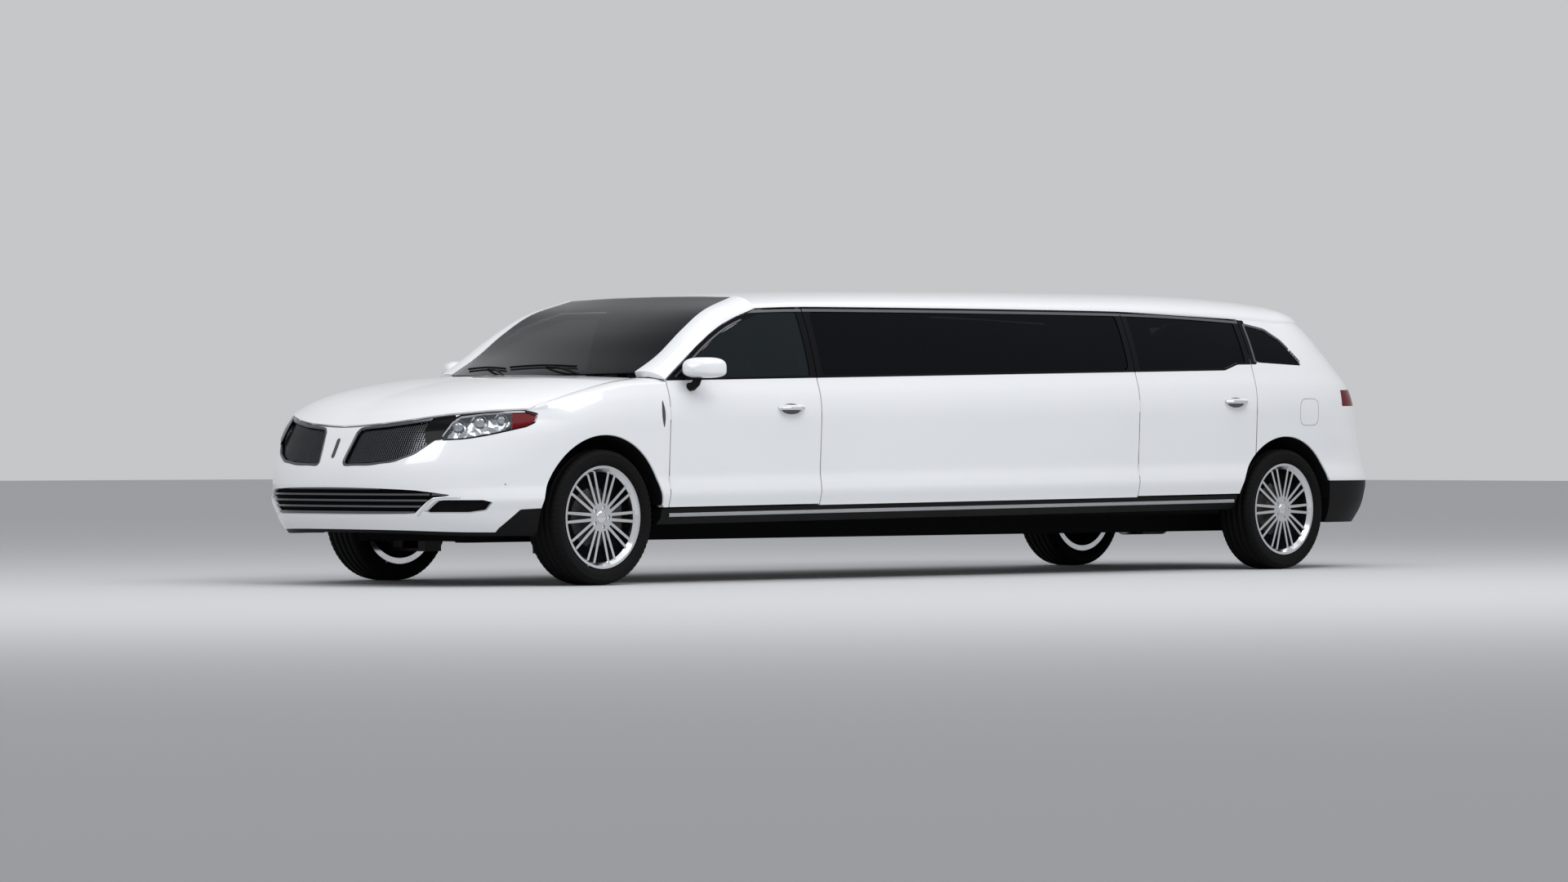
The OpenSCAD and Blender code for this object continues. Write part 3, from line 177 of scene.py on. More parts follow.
def finish(name, color, rough, metal=0.0, coat=0.0, alpha=1.0, shine=0.5, tint=None, spread=0.02, patch=2.0,
           grain=None, stretch=(1, 1, 1)):
    """Roughness is rough plus spread times a slow noise, colour runs from color to tint with it;
    grain is the fine pattern's kind, its count per metre and its height in metres."""
    m = bpy.data.materials.new(name)
    m.use_nodes = True
    b = m.node_tree.nodes["Principled BSDF"]
    b.inputs["Base Color"].default_value = (*color, 1.0)
    b.inputs["Metallic"].default_value = metal
    b.inputs["Coat Weight"].default_value = coat
    b.inputs["Coat Roughness"].default_value = 0.03
    b.inputs["Alpha"].default_value = alpha
    b.inputs["Specular IOR Level"].default_value = shine
    place = Wire(m.node_tree, m.node_tree.nodes.new("ShaderNodeTexCoord").outputs["Object"])
    place = place.node("ShaderNodeMapping", {}, {"Vector": place, "Scale": stretch})
    slow = place.node("ShaderNodeTexNoise", {}, {"Vector": place, "Scale": patch, "Detail": 4.0})
    links = {"Roughness": slow * (2 * spread) + (rough - spread)}
    if tint:
        links["Base Color"] = place.node("ShaderNodeMix", {"data_type": "RGBA"},
                                         {0: slow, 6: (*color, 1.0), 7: (*tint, 1.0)}, 2)
    if grain:
        kind, count, height = grain
        fine = place.node("ShaderNodeTex" + kind, {}, {"Vector": place, "Scale": count})
        links["Normal"] = fine.node("ShaderNodeBump", {}, {"Distance": height, "Height": fine})
    for socket, wire in links.items():
        m.node_tree.links.new(wire.socket, b.inputs[socket])
    return m


paint = finish("paint", (0.785, 0.8, 0.825), 0.3, coat=1.0, tint=(0.815, 0.83, 0.855), spread=0.04,
               patch=1.3, grain=("Noise", 140, 0.00003))


def add(name, v, f, mat, body, smooth_shade=True):
    """A mesh of points in millimetres and faces, with its finish, riding on a body."""
    mesh = bpy.data.meshes.new(name)
    mesh.from_pydata((np.asarray(v) * MM).tolist(), [], f.tolist() if isinstance(f, np.ndarray) else f)
    mesh.materials.append(mat)
    mesh.polygons.foreach_set("use_smooth", [smooth_shade] * len(mesh.polygons))
    obj = bpy.data.objects.new(name, mesh)
    scene.collection.objects.link(obj)
    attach(obj, body)
    return obj


def grid_quads(n, m, round_n=False, round_m=False):
    """Faces of n rows of m points; a way that goes round joins its last row to its first."""
    i, j = np.meshgrid(np.arange(n if round_n else n - 1), np.arange(m if round_m else m - 1), indexing="ij")
    i, j = i.ravel(), j.ravel()
    up, on = (i + 1) % n, (j + 1) % m
    return np.stack([i * m + j, up * m + j, up * m + on, i * m + on], 1)


def clip(v, f, d):
    """The part of a triangle mesh where d is positive; a cut edge gets a point where d is nought along it."""
    keep = d > 0
    count = keep[f].sum(1)
    parts = [f[count == 3]]
    mixed = f[(count == 1) | (count == 2)]
    if len(mixed):
        m = keep[mixed]
        lone = np.where(m.sum(1) == 1, np.argmax(m, 1), np.argmin(m, 1))
        k = np.arange(len(mixed))
        a, b, c = (mixed[k, (lone + j) % 3] for j in range(3))
        pairs = np.sort(np.concatenate([np.stack([a, b], 1), np.stack([a, c], 1)]), 1)
        ends, back = np.unique(pairs, axis=0, return_inverse=True)
        back = back.ravel() + len(v)
        w = (d[ends[:, 0]] / (d[ends[:, 0]] - d[ends[:, 1]]))[:, None]
        v = np.concatenate([v, v[ends[:, 0]] * (1 - w) + v[ends[:, 1]] * w])
        ab, ac = back[:len(a)], back[len(a):]
        one = keep[a]
        parts += [np.stack([a, ab, ac], 1)[one], np.stack([ab, b, c], 1)[~one], np.stack([ab, c, ac], 1)[~one]]
    f = np.concatenate(parts)
    used, flat = np.unique(f, return_inverse=True)
    return v[used], flat.reshape(-1, 3)


def panel(name, p, keep, mat, body, lift=1.5, deep=14.0):
    """Sheet on a grid of points, raised along its normals, clipped by each rule, with a rim that goes in."""
    p = np.asarray(p, float)
    n = np.cross(np.gradient(p, axis=0), np.gradient(p, axis=1))
    n /= np.maximum(np.linalg.norm(n, axis=2, keepdims=True), 1e-9)
    out = np.stack([p[..., 0] * 0.15, p[..., 1], p[..., 2] - 700.0], -1)
    q = grid_quads(*p.shape[:2])
    f = np.concatenate([q[:, [0, 1, 2]], q[:, [0, 2, 3]]])
    if (n * out).sum() < 0:
        n, f = -n, f[:, ::-1]
    v = np.concatenate([p + lift * n, n], -1).reshape(-1, 6)
    for rule in keep:
        v, f = clip(v, f, rule(v[:, :3]))
    # An open edge is one whose other way round is missing; the rim has its own points, so the edge stays crisp
    e = np.concatenate([f[:, [0, 1]], f[:, [1, 2]], f[:, [2, 0]]])
    rim = e[~np.isin(e @ [1, len(v)], e @ [len(v), 1])]
    ends, flat = np.unique(rim, return_inverse=True)
    flat = flat.reshape(-1, 2) + len(v)
    skirt = np.concatenate([v[ends, :3], v[ends, :3] - deep * v[ends, 3:]])
    low = flat + len(ends)
    quads = np.stack([flat[:, 1], flat[:, 0], low[:, 0], low[:, 1]], 1)
    return add(name, np.concatenate([v[:, :3], skirt]), f.tolist() + quads.tolist(), mat, body)


def inside(outline, p):
    """Distance to a closed outline, positive inside it: the nearest of its edges, and an odd count of crossings."""
    a = np.array(outline, float)
    b = np.roll(a, -1, 0)
    best = np.full(len(p), 1e9)
    odd = np.zeros(len(p), bool)
    for q, w in zip(a, b):
        e = w - q
        t = np.clip(((p - q) @ e) / (e @ e), 0, 1)
        best = np.minimum(best, np.linalg.norm(p - q - t[:, None] * e, axis=1))
        cross = (q[1] > p[:, 1]) != (w[1] > p[:, 1])
        if abs(e[1]) > 1e-9:
            odd ^= cross & (p[:, 0] < q[0] + (p[:, 1] - q[1]) / e[1] * e[0])
    return np.where(odd, best, -best)


def from_side(outline):
    """Rule: inside an outline seen from the side."""
    return lambda p: inside(outline, p[:, [0, 2]])


def without(f):
    """Rule: outside what another rule keeps."""
    return lambda p: -f(p)


def arch(x, r=ARCH_R):
    """Rule: outside a wheel arch, by the distance from the hub."""
    return lambda p: np.hypot(p[:, 0] - x, p[:, 2] - HUB_Z) - r


def frame_z(x):
    """Line where the paint stops and the window frames start, with a kick up in the rear door."""
    return belt_z(x) + np.interp(x, [KICK_X - 20, KICK_X + 110], [46, 12])


def above(p):
    """Rule: above the paint's upper edge."""
    return p[:, 2] - frame_z(p[:, 0])


def pillar_at(k, d):
    """Point of the windshield pillar's outer edge, seen from the side, moved back by d."""
    return [XF - float(smooth(PILLAR_ROWS, k, 1)) - d, float(smooth(PILLAR_ROWS, k, 3)) - d * 0.5]


def front_door_outline(g):
    """Outline of the front door with a gap g at its ends: upright ends, the pillar's slope and the rail."""
    return ([[FD_BACK + g, 200], [FD_X - g, 200], [FD_X - g, belt_z(FD_X)]]
            + [pillar_at(k, GAP + 1) for k in np.linspace(0, 1, 16)]
            + [[x, rail_z(x) - GAP - 3] for x in np.linspace(XF - 1340, FD_BACK + g, 6)])


def centre_outline(g):
    """Outline of the centre panel: the box between the doors, with a gap g at its ends."""
    return [[RD_X + g, 200], [FD_BACK - g, 200], [FD_BACK - g, 1800], [RD_X + g, 1800]]


def rear_door_outline(g):
    """Outline of the rear door with a gap g at its ends: upright ends and the rail."""
    return ([[RD_BACK + g, 200], [RD_X - g, 200]]
            + [[x, rail_z(x) - GAP - 3] for x in np.linspace(RD_X - g, RD_BACK + g, 8)])


def side_body(kind, name):
    """Body that a piece of the side rides on."""
    return "body" if kind == "centre" else f"{kind}_door_{name}"


ROWS = np.concatenate([np.linspace(0, 0.99, 72), np.linspace(1, 2, 40)])
SECTIONS = (("front", np.linspace(FD_X + 10, FD_BACK - 10, 70), front_door_outline),
            ("centre", np.linspace(FD_BACK, RD_X, 60), centre_outline),
            ("rear", np.linspace(RD_X + 10, RD_BACK - 10, 70), rear_door_outline))
for name, s in SIDES:
    for kind, x, outline in SECTIONS:
        panel(f"skin_{kind}_{name}", mirrored(wall(x, ROWS), s),
              [from_side(outline(HALF)), arch(XR, ARCH_R - 1), without(above)], paint, side_body(kind, name))

# Window frames: gloss black covers round the side glass, clipped over the upper part of the doors
# and of the centre panel, with deep returns to the panes.
gloss = finish("gloss", (0.003, 0.003, 0.004), 0.12, shine=0.1, tint=(0.004, 0.004, 0.005), spread=0.05,
               patch=7)


def front_window(d=0.0):
    """Outline of the front door's window, grown by d: belt, pillar slope and rail."""
    return ([[FD_BACK + 48 - d, belt_z(FD_BACK) + 24 - d], [FD_X - 62 + d, belt_z(FD_X) + 24 - d]]
            + [pillar_at(k, 44 - d) for k in np.linspace(0.12, 0.85, 12)]
            + [[XF - 1330, rail_z(XF - 1330) - 26 + d], [FD_BACK + 48 - d, rail_z(FD_BACK) - 26 + d]])


def stretch_window(d=0.0):
    """Outline of the long centre window, grown by d, between belt and rail."""
    xs = np.linspace(RD_X + 48 - d, FD_BACK - 48 + d, 12)
    return [[x, belt_z(x) + 24 - d] for x in xs] + [[x, rail_z(x) - 26 + d] for x in xs[::-1]]


def rear_window(d=0.0):
    """Outline of the rear door's window, grown by d, with the kick up in its lower edge."""
    top = np.linspace(RD_X - 48 + d, RD_BACK + 48 - d, 8)
    return ([[x, belt_z(x) + 58 - d] for x in (RD_BACK + 48 - d, KICK_X - 20)]
            + [[x, belt_z(x) + 24 - d] for x in (KICK_X + 110, RD_X - 48 + d)]
            + [[x, rail_z(x) - 26 + d] for x in top])


WINDOWS = {"front": front_window, "centre": stretch_window, "rear": rear_window}
for name, s in SIDES:
    for kind, x, outline in SECTIONS:
        panel(f"window_frame_{kind}_{name}", mirrored(wall(x, ROWS), s),
              [from_side(outline(HALF - 1)), above, without(from_side(WINDOWS[kind](-1.2)))], gloss,
              side_body(kind, name), 1.5, 46)

# Window band: one dark metal strip along the tops of the side windows, brushed lengthwise and
# pressed on to the frames; on the front door it goes on down the windshield pillar.
band = finish("band", (0.16, 0.17, 0.18), 0.3, metal=0.9, tint=(0.19, 0.2, 0.21), spread=0.06, patch=3,
              grain=("Noise", 20, 0.0001), stretch=(1, 30, 30))
UPPER = np.concatenate([np.linspace(1, 1.84, 14), np.linspace(1.86, 2, 24)])


def top_band(p):
    """Rule: from 27 to 12 mm under the rail."""
    top = rail_z(p[:, 0])
    return np.minimum(p[:, 2] - top + 27, top - 12 - p[:, 2])


for name, s in SIDES:
    for kind, x, outline in SECTIONS:
        panel(f"window_band_{kind}_{name}", mirrored(wall(x, UPPER), s), [from_side(outline(HALF)), top_band], band,
              side_body(kind, name), 3, 5)
    slope = ([pillar_at(k, 40) for k in np.linspace(0.08, 0.85, 16)]
             + [pillar_at(k, 30) for k in np.linspace(0.85, 0.08, 16)])
    panel("window_band_slope_" + name,
          mirrored(wall(np.linspace(FD_X + 10, XF - 1340, 260), np.linspace(1, 2, 120)), s), [from_side(slope)], band,
          "front_door_" + name, 3, 5)

# Side glass: lightly tinted panes in the front doors, near-black panes behind them, each a thin
# sheet set a little inside its frame.
clear = finish("clear", (0.008, 0.012, 0.015), 0.03, alpha=0.86, shine=0.14, spread=0.012, patch=2)
privacy = finish("privacy", (0.002, 0.0025, 0.004), 0.03, alpha=0.985, shine=0.06, spread=0.012,
                 patch=2)
PANE_INSET = 4.0
for name, s in SIDES:
    for kind, x, outline in SECTIONS:
        pane = panel(f"pane_{kind}_{name}", mirrored(wall(x, UPPER, PANE_INSET), s), [from_side(WINDOWS[kind](-0.5))],
                     clear if kind == "front" else privacy, side_body(kind, name), 0, 5)
        if kind != "centre":
            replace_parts(pane, f"glass_{kind}_{name}")
        elif s > 0:
            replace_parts(pane, "side_windows")

# Door handles: a chromed bar on two feet over a flat dark chrome patch, painted shade of a dished cup,
# one on each door, bolted through the skin.
chrome = finish("chrome", (0.82, 0.83, 0.85), 0.08, metal=1.0, tint=(0.76, 0.77, 0.8), spread=0.04,
                patch=18)
dark_chrome = finish("dark_chrome", (0.12, 0.125, 0.135), 0.22, metal=1.0, tint=(0.145, 0.15, 0.16),
                     spread=0.06, patch=25)


def tube(name, points, radius, mat, body, closed=False, ring=10):
    """Round bar: a circle carried along a path, square to it; capped at both ends unless the path closes."""
    p = np.array(points, float)
    n = len(p)
    t = (np.roll(p, -1, 0) - np.roll(p, 1, 0)) if closed else np.gradient(p, axis=0)
    t /= np.linalg.norm(t, axis=1, keepdims=True)
    a = np.cross(t, np.tile([0.13, 0.31, 0.94], (n, 1)))
    a /= np.linalg.norm(a, axis=1, keepdims=True)
    b = np.cross(t, a)
    w = np.linspace(0, 2 * math.pi, ring, endpoint=False)[None, :, None]
    v = p[:, None] + radius * (np.cos(w) * a[:, None] + np.sin(w) * b[:, None])
    f = grid_quads(n, ring, closed, True)[:, [0, 3, 2, 1]].tolist()
    if not closed:
        f += [list(range(ring)), list(range(n * ring - 1, (n - 1) * ring - 1, -1))]
    return add(name, v.reshape(-1, 3), f, mat, body)


for name, s in SIDES:
    for part, hx, share in (("front", FD_BACK + 245, 0.77), ("rear", RD_BACK + 205, 0.75)):
        zc = float(wall_z(np.array(hx), np.array(share)))
        # Painted shade: a flat dark patch on the skin stands for the shade inside the handle's dished cup
        x, z = np.meshgrid(np.linspace(hx + 92, hx - 92, 50), np.linspace(-34, 34, 24) + zc, indexing="ij")
        cup_shade = np.stack([x, side_y((z - sill_z(x)) / (shoulder_z(x) - sill_z(x))), z], -1)
        panel(f"handle_cup_shade_{part}_{name}", mirrored(cup_shade, s),
              [lambda p, a=hx, b=zc: 1 - ((p[:, 0] - a) / 78) ** 2 - ((p[:, 2] - b) / 30) ** 2], dark_chrome,
              f"{part}_door_{name}", 2.2, 3)
        q = np.linspace(-1, 1, 28)
        bar = np.stack([hx + 96 * q, side_y(np.array(share)) + 4 + 36 * (1 - q ** 4), np.full(28, zc + 4)], -1)
        tube(f"handle_bar_{part}_{name}", mirrored(bar, s), 10, chrome, f"{part}_door_{name}", ring=12)

# Rear quarters: painted steel, straight over the axle and then round to the liftgate's shut line,
# with a fixed pane, its frame and band, the tail lamp and, on the left, the fuel door's groove drawn as a thin black
# line of painted shade.
lens_red = finish("lens_red", (0.11, 0.001, 0.008), 0.12, shine=0.06, tint=(0.14, 0.002, 0.01),
                  spread=0.04, patch=30, grain=("Voronoi", 130, 0.0004))
trim = finish("trim", (0.004, 0.004, 0.0045), 0.52, shine=0.12, tint=(0.006, 0.006, 0.0065), spread=0.08,
              patch=5, grain=("Voronoi", 520, 0.0003))
TAIL_POWER = [[500, 4], [840, 3.5], [1100, 3.1], [1300, 2.6], [1500, 2.2]]
TAIL_ROWS = [[270, 110], [400, 20], [530, 0], [850, 55], [1100, 105], [1227, 185], [1343, 275], [1457, 365],
             [1546, 490], [1610, 585]]
GATE_Y, GATE_LOW, SEAM_Z = 742.0, 690.0, 545.0
LAMP_X = XR - 570
LAMP_OUTLINE = [[GATE_Y - 40, 1016], [1000, 1004], [1000, 1102], [GATE_Y - 40, 1120]]
COLUMNS = np.concatenate([np.linspace(-1, 0, 40, endpoint=False), np.linspace(0, 76, 70)])


def plan(turn, long, wide, power, inset=0.0):
    """Quarter of a superellipse seen from above, moved in along its normals by the inset."""
    s, c = np.clip(np.sin(turn), 0, 1), np.clip(np.cos(turn), 0, 1)
    e = 2 / power
    n = np.stack([s ** (2 - e) / long, c ** (2 - e) / wide])
    k = inset / np.linalg.norm(n, axis=0)
    return long * s ** e - k * n[0], wide * c ** e - k * n[1]


def tail_pt(turn, z, inset=0.0):
    """Point of the tail: at each height a superellipse from the side wall round to the middle."""
    x = XR - TAIL_START
    s, b = sill_z(x), belt_z(x)
    r = np.where(z < b, (z - s) / (b - s), 1 + (z - b) / (rail_z(x) - b))
    px, py = plan(turn, REAR - smooth(TAIL_ROWS, z) - TAIL_START, wall_y(r), smooth(TAIL_POWER, z), inset)
    return np.stack([x - px, py, np.broadcast_to(z, px.shape)], -1)


def tail_y(x, z, count):
    """Half width of the tail at places x and heights z: the nearest of count points round each height."""
    near = tail_pt(np.radians(np.linspace(0, 60, count))[None], z[:, None])
    return near[np.arange(len(x)), np.argmin(np.abs(near[..., 0] - x[:, None]), 1), 1]


def quarter(cs, rs, inset=0.0):
    """Grid of the quarter: columns below nought run along the side, those above it are degrees round the tail."""
    c, r = np.meshgrid(cs, rs, indexing="ij")
    x = lerp(XR - TAIL_START, RD_BACK - HALF, np.maximum(-c, 0))
    flat = np.stack([x, wall_y(r) - inset, wall_z(x, r)], -1)
    turned = tail_pt(np.radians(np.maximum(c, 0.0)), wall_z(XR - TAIL_START, r), inset)
    return np.where((c <= 0)[..., None], flat, turned)


def rounded(outline, times=2, cut=0.18):
    """Outline with its corners cut back, a little more each time."""
    a = np.array(outline, float)
    for _ in range(times):
        b = np.roll(a, -1, 0)
        a = np.stack([lerp(a, b, cut), lerp(b, a, cut)], 1).reshape(-1, 2)
    return a


def quarter_window(d=0.0):
    """Outline of the quarter's pane, grown by d: an upright front, a falling top and a low tip."""
    tip = XR - 195
    return [[RD_BACK - 48 + d, belt_z(RD_BACK) + 58 - d], [RD_BACK - 48 + d, rail_z(RD_BACK) - 34 + d],
            [XR + 60, rail_z(XR + 60) - 56 + d], [XR - 60, rail_z(XR) - 120 + d], [tip - d, belt_z(XR) + 44],
            [tip - d, belt_z(XR) + 36 - d]]


def gate_outline(d=0.0):
    """Outline of half the liftgate seen from behind, grown by d."""
    return [[-10, GATE_LOW - d], [GATE_Y + d, GATE_LOW - d], [GATE_Y - 12 + d, 1200], [610 + d, 1480],
            [520 + d, 1640], [-10, 1640]]


def from_front(outline):
    """Rule: inside an outline of one half, seen along the car."""
    return lambda p: inside(outline, np.stack([np.abs(p[:, 1]), p[:, 2]], 1))


def behind(x, f):
    """Rule that holds only behind a place along the car."""
    return lambda p: np.maximum(f(p), p[:, 0] - x)


def not_bumper(p):
    """Rule: above the black valance and outside the strip of bumper under the liftgate."""
    side = np.maximum(p[:, 2] - SEAM_Z, p[:, 0] - XR + ARCH_R * 0.9)
    under = np.maximum(np.abs(p[:, 1]) - GATE_Y - GAP, np.maximum(p[:, 2] - GATE_LOW, p[:, 0] - XR + 400))
    return np.minimum(side, under)


def pillar_zone(p):
    """Rule: the black part of the quarter, ahead of its pane."""
    return np.minimum(np.minimum(above(p), rail_z(p[:, 0]) - 4 - p[:, 2]), p[:, 0] - RD_BACK + 60)


hole = from_side(rounded(quarter_window(-1.2), 2, 0.06))
ring_round = from_side(rounded(quarter_window(13), 2, 0.06))
FINE = quarter(np.concatenate([np.linspace(-1, 0, 120, endpoint=False), np.linspace(0, 60, 120)]),
               np.linspace(1, 2, 110))
for name, s in SIDES:
    panel("skin_quarter_" + name, mirrored(quarter(COLUMNS, ROWS), s),
          [arch(XR, ARCH_R - 1), without(hole), without(pillar_zone), not_bumper,
           behind(XR - 200, without(from_front(gate_outline(GAP - 1)))),
           behind(LAMP_X, without(from_front(LAMP_OUTLINE)))], paint, "body")
    panel("window_frame_quarter_" + name, mirrored(quarter(COLUMNS[:60], UPPER), s), [pillar_zone, without(hole)],
          gloss, "body", 1.5, 46)
    panel("window_band_quarter_" + name, mirrored(FINE, s),
          [lambda p: np.minimum(ring_round(p), -hole(p)), lambda p: p[:, 2] - belt_z(p[:, 0]) - 60,
           lambda p: RD_BACK - 12 - p[:, 0]], band, "body", 3, 5)
    panel("pane_quarter_" + name, mirrored(quarter(COLUMNS[:70], UPPER, PANE_INSET), s), [hole], privacy, "body", 0, 5)
    lamp = panel("lens_tail_" + name, mirrored(quarter(np.linspace(12, 80, 70), np.linspace(0.6, 1, 40)), s),
                 [from_front(LAMP_OUTLINE), lambda p: LAMP_X - 1 - p[:, 0], without(from_front(gate_outline(GAP)))],
                 lens_red, "body")
    if s > 0:
        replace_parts(lamp, "tail_lamps")


def squared(angle, power):
    """Cosine and sine raised to a power with their signs kept, for a circle squared off."""
    c, s = np.cos(angle), np.sin(angle)
    return np.sign(c) * np.abs(c) ** power, np.sign(s) * np.abs(s) ** power


# Painted shade: a thin black ring on the paint stands for the shade in the fuel door's groove
c, d = squared(np.linspace(0, 2 * math.pi, 60, endpoint=False), 0.5)
x, z = XR - 215 + 88 * c, 968 + 82 * d
tube("fuel_door_gap_shade", np.stack([x, tail_y(x, z, 400) + 0.6, z], -1), 1.6, trim, "body", closed=True, ring=6)

# Roof: one pressed steel skin from the windshield to the liftgate's hinge line, welded to the rails,
# with a grey cloth headliner glued up under it.
soft_grey = finish("soft_grey", (0.1, 0.1, 0.105), 0.8, tint=(0.125, 0.125, 0.13), spread=0.06, patch=90,
                   grain=("Noise", 800, 0.0006))
ROOF_BACK, ROOF_FRONT, ROOF_DEEP = XR - 540.0, XF - 1256.0, 42.0
CROWN_ROWS = [[XR - 540, 84], [XR - 205, 35], [XR + 295, 7], [XR + 995, 0], [XF - 3000, 21], [XF - 1900, 45],
              [XF - 1250, 79]]


def roof_pt(x, t):
    """Point of the roof: t runs from rail to rail, the crown rises between them as a power curve,
    the rails close in behind the tail's start and the front edge bends back at the sides."""
    base = rail_z(x)
    crown = ROOF_H - smooth(CROWN_ROWS, x)
    b = np.maximum(XR - TAIL_START - x, 0)
    long = REAR - smooth(TAIL_ROWS, rail_z(XR - TAIL_START)) - TAIL_START
    half = RAIL_HALF * (1 - (b / long) ** 2.2) ** (1 / 2.2)
    bend = 44 * t * t * np.clip((x - XF + 1600) / (ROOF_FRONT - XF + 1600), 0, 1)
    return np.stack([x - bend, t * half, base + (crown - base) * (1 - np.abs(t) ** 3.4) ** 0.526], -1)


x, t = np.meshgrid(np.linspace(ROOF_BACK, ROOF_FRONT, 150), np.sin(np.linspace(-math.pi / 2, math.pi / 2, 70)),
                   indexing="ij")
panel("skin_roof", roof_pt(x, t), [], paint, "body", 1.5, 10)
x, t = np.meshgrid(np.linspace(ROOF_BACK + 80, ROOF_FRONT - 30, 40), np.linspace(-0.9, 0.9, 24), indexing="ij")
panel("headliner", roof_pt(x, t) - np.array([0, 0, ROOF_DEEP]), [], soft_grey, "body", 0, 3)

# Windshield: bent laminated glass, glued in over a black printed border, between two painted
# pillars; two wipers of black steel and rubber lie at its foot.
screen = finish("screen", (0.006, 0.008, 0.009), 0.03, alpha=0.9, shine=0.1, spread=0.012, patch=2)
rubber = finish("rubber", (0.0035, 0.0035, 0.004), 0.75, shine=0.12, tint=(0.006, 0.006, 0.0065), spread=0.08,
                patch=24, grain=("Noise", 420, 0.0003))
SCREEN_ROWS = [[0, 420, 748, 1160], [0.25, 600, 745, 1258], [0.5, 800, 728, 1398], [0.75, 1000, 702, 1512],
               [1, 1270, 655, 1594]]
SCREEN_MID = [[0, 170, 1150], [0.25, 430, 1262], [0.5, 700, 1392], [0.75, 970, 1508], [1, 1250, 1603]]


def edge_line(rows, k):
    """Line up the side of the glass or the pillar: distance back, half width and height, each smooth in k."""
    return np.stack([XF - smooth(rows, k, 1), smooth(rows, k, 2), smooth(rows, k, 3)], -1)


def screen_pt(k, t):
    """Point of the glass: the middle line bends to the side line with the square of t."""
    e = edge_line(SCREEN_ROWS, k)
    m = t * t
    return np.stack([lerp(XF - smooth(SCREEN_MID, k, 1), e[..., 0], m), t * e[..., 1],
                     lerp(smooth(SCREEN_MID, k, 2), e[..., 2], m)], -1)


def screen_border(p):
    """Rule: the printed border along the sides, the top and the foot."""
    side = np.abs(p[:, 1]) - np.interp(p[:, 2], [1150, 1400, 1600], [718, 700, 620])
    return np.maximum(side, np.maximum(p[:, 2] - 1570, 1172 - p[:, 2]))


k, t = np.meshgrid(np.linspace(0, 1, 60), np.linspace(-1, 1, 80), indexing="ij")
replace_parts(panel("pane_windshield", screen_pt(k, t), [], screen, "body", 0, 5), "windshield")
k, t = np.meshgrid(np.linspace(0, 1, 60), np.linspace(-1, 1, 120), indexing="ij")
panel("screen_band", screen_pt(k, t), [screen_border], gloss, "body", -7, 1)
for name, s in SIDES:
    k, u = np.meshgrid(np.linspace(0, 1, 50), np.linspace(0, 1, 24), indexing="ij")
    a, c = edge_line(PILLAR_ROWS, k), edge_line(SCREEN_ROWS, k)
    mid = (a + c) / 2 + np.array([14.0, 30.0, 30.0])
    u = u[..., None]
    post = a * (1 - u) ** 2 + 2 * mid * u * (1 - u) + c * u ** 2 + np.array([1.0, 3.0, 3.0]) * np.sin(math.pi * u)
    panel("skin_pillar_" + name, mirrored(post, s), [], paint, "body", 4.0, 10)
for i, (t0, t1, k1) in enumerate(((0.62, -0.12, 0.1), (-0.05, -0.72, 0.08))):
    q = np.linspace(0, 1, 10)
    bow = np.stack([np.full(10, 6.0), np.zeros(10), 14 * np.sin(q * 3)], -1)
    tube(f"wiper_arm_{i}", screen_pt(lerp(0.0, k1, q), lerp(t0, lerp(t0, t1, 0.5), q)) + bow, 6, trim, "body")
    q = np.linspace(0, 1, 24)
    blade = screen_pt(k1 * 0.9 + 0.02 * np.sin(3.14 * q), lerp(t0 - 0.1, t1, q)) + np.array([4, 0, 7])
    tube(f"wiper_blade_{i}", blade, 6, rubber, "body")

# Hood: a crowned steel pressing, painted, hinged at the cowl; its front edge follows the nose
# and dips to the grille in the middle.
NOSE_POWER, HOOD_TURN, HOOD_Y = 2.8, 66.0, 780.0
COWL_MID, COWL_SIDE, LIP_MID, LIP_SIDE = 1150.0, 1128.0, 866.0, 958.0
NOSE_ROWS = [[270, 95], [390, 20], [470, 5], [560, 0], [650, 15], [750, 60], [860, 115], [930, 170], [1000, 230]]
HOOD_MID = [[0, 1150], [0.25, 1130], [0.5, 1090], [0.75, 1022], [0.9, 948], [1, 866]]
HOOD_SIDE = [[0, 1128], [0.25, 1100], [0.5, 1058], [0.75, 1010], [1, 958]]
HOOD_EDGE = [[0, 866], [0.2, 884], [0.36, 905], [0.53, 928], [0.7, 943], [0.85, 952], [1, 958]]


def hood_front(t):
    """Front edge from the middle (t = 0) to the corner (t = 1): the nose's superellipse at the edge's own height."""
    z = smooth(HOOD_EDGE, t)
    px, py = plan(np.radians(90 - HOOD_TURN * t), FRONT - smooth(NOSE_ROWS, z), HALF_W - 25, NOSE_POWER)
    return np.stack([XF + px, py, z], -1)


def hood_cowl(t):
    """Rear edge at the cowl, bent back with the square of t."""
    return np.stack([XF - 140 - 215 * t * t, t * HOOD_Y, lerp(COWL_MID, COWL_SIDE, t * t)], -1)


def hood_pt(s, t):
    """Point of the hood: straight from cowl to front edge, raised by the crown of its middle and side lines."""
    m = t * t
    p = lerp(hood_cowl(t), hood_front(t), s[..., None])
    mid = smooth(HOOD_MID, s) - lerp(COWL_MID, LIP_MID, s)
    edge = smooth(HOOD_SIDE, s) - lerp(COWL_SIDE, LIP_SIDE, s)
    p[..., 1] += 22 * m * s * (1 - s)
    p[..., 2] += (1 - m) * mid + m * edge
    return p


s, t = np.meshgrid(np.linspace(0, 1, 110), np.linspace(-1, 1, 150), indexing="ij")
top = hood_pt(s, np.abs(t))
top[..., 1] *= np.sign(t)
panel("skin_hood", top, [], paint, "hood", 1.5, 8)

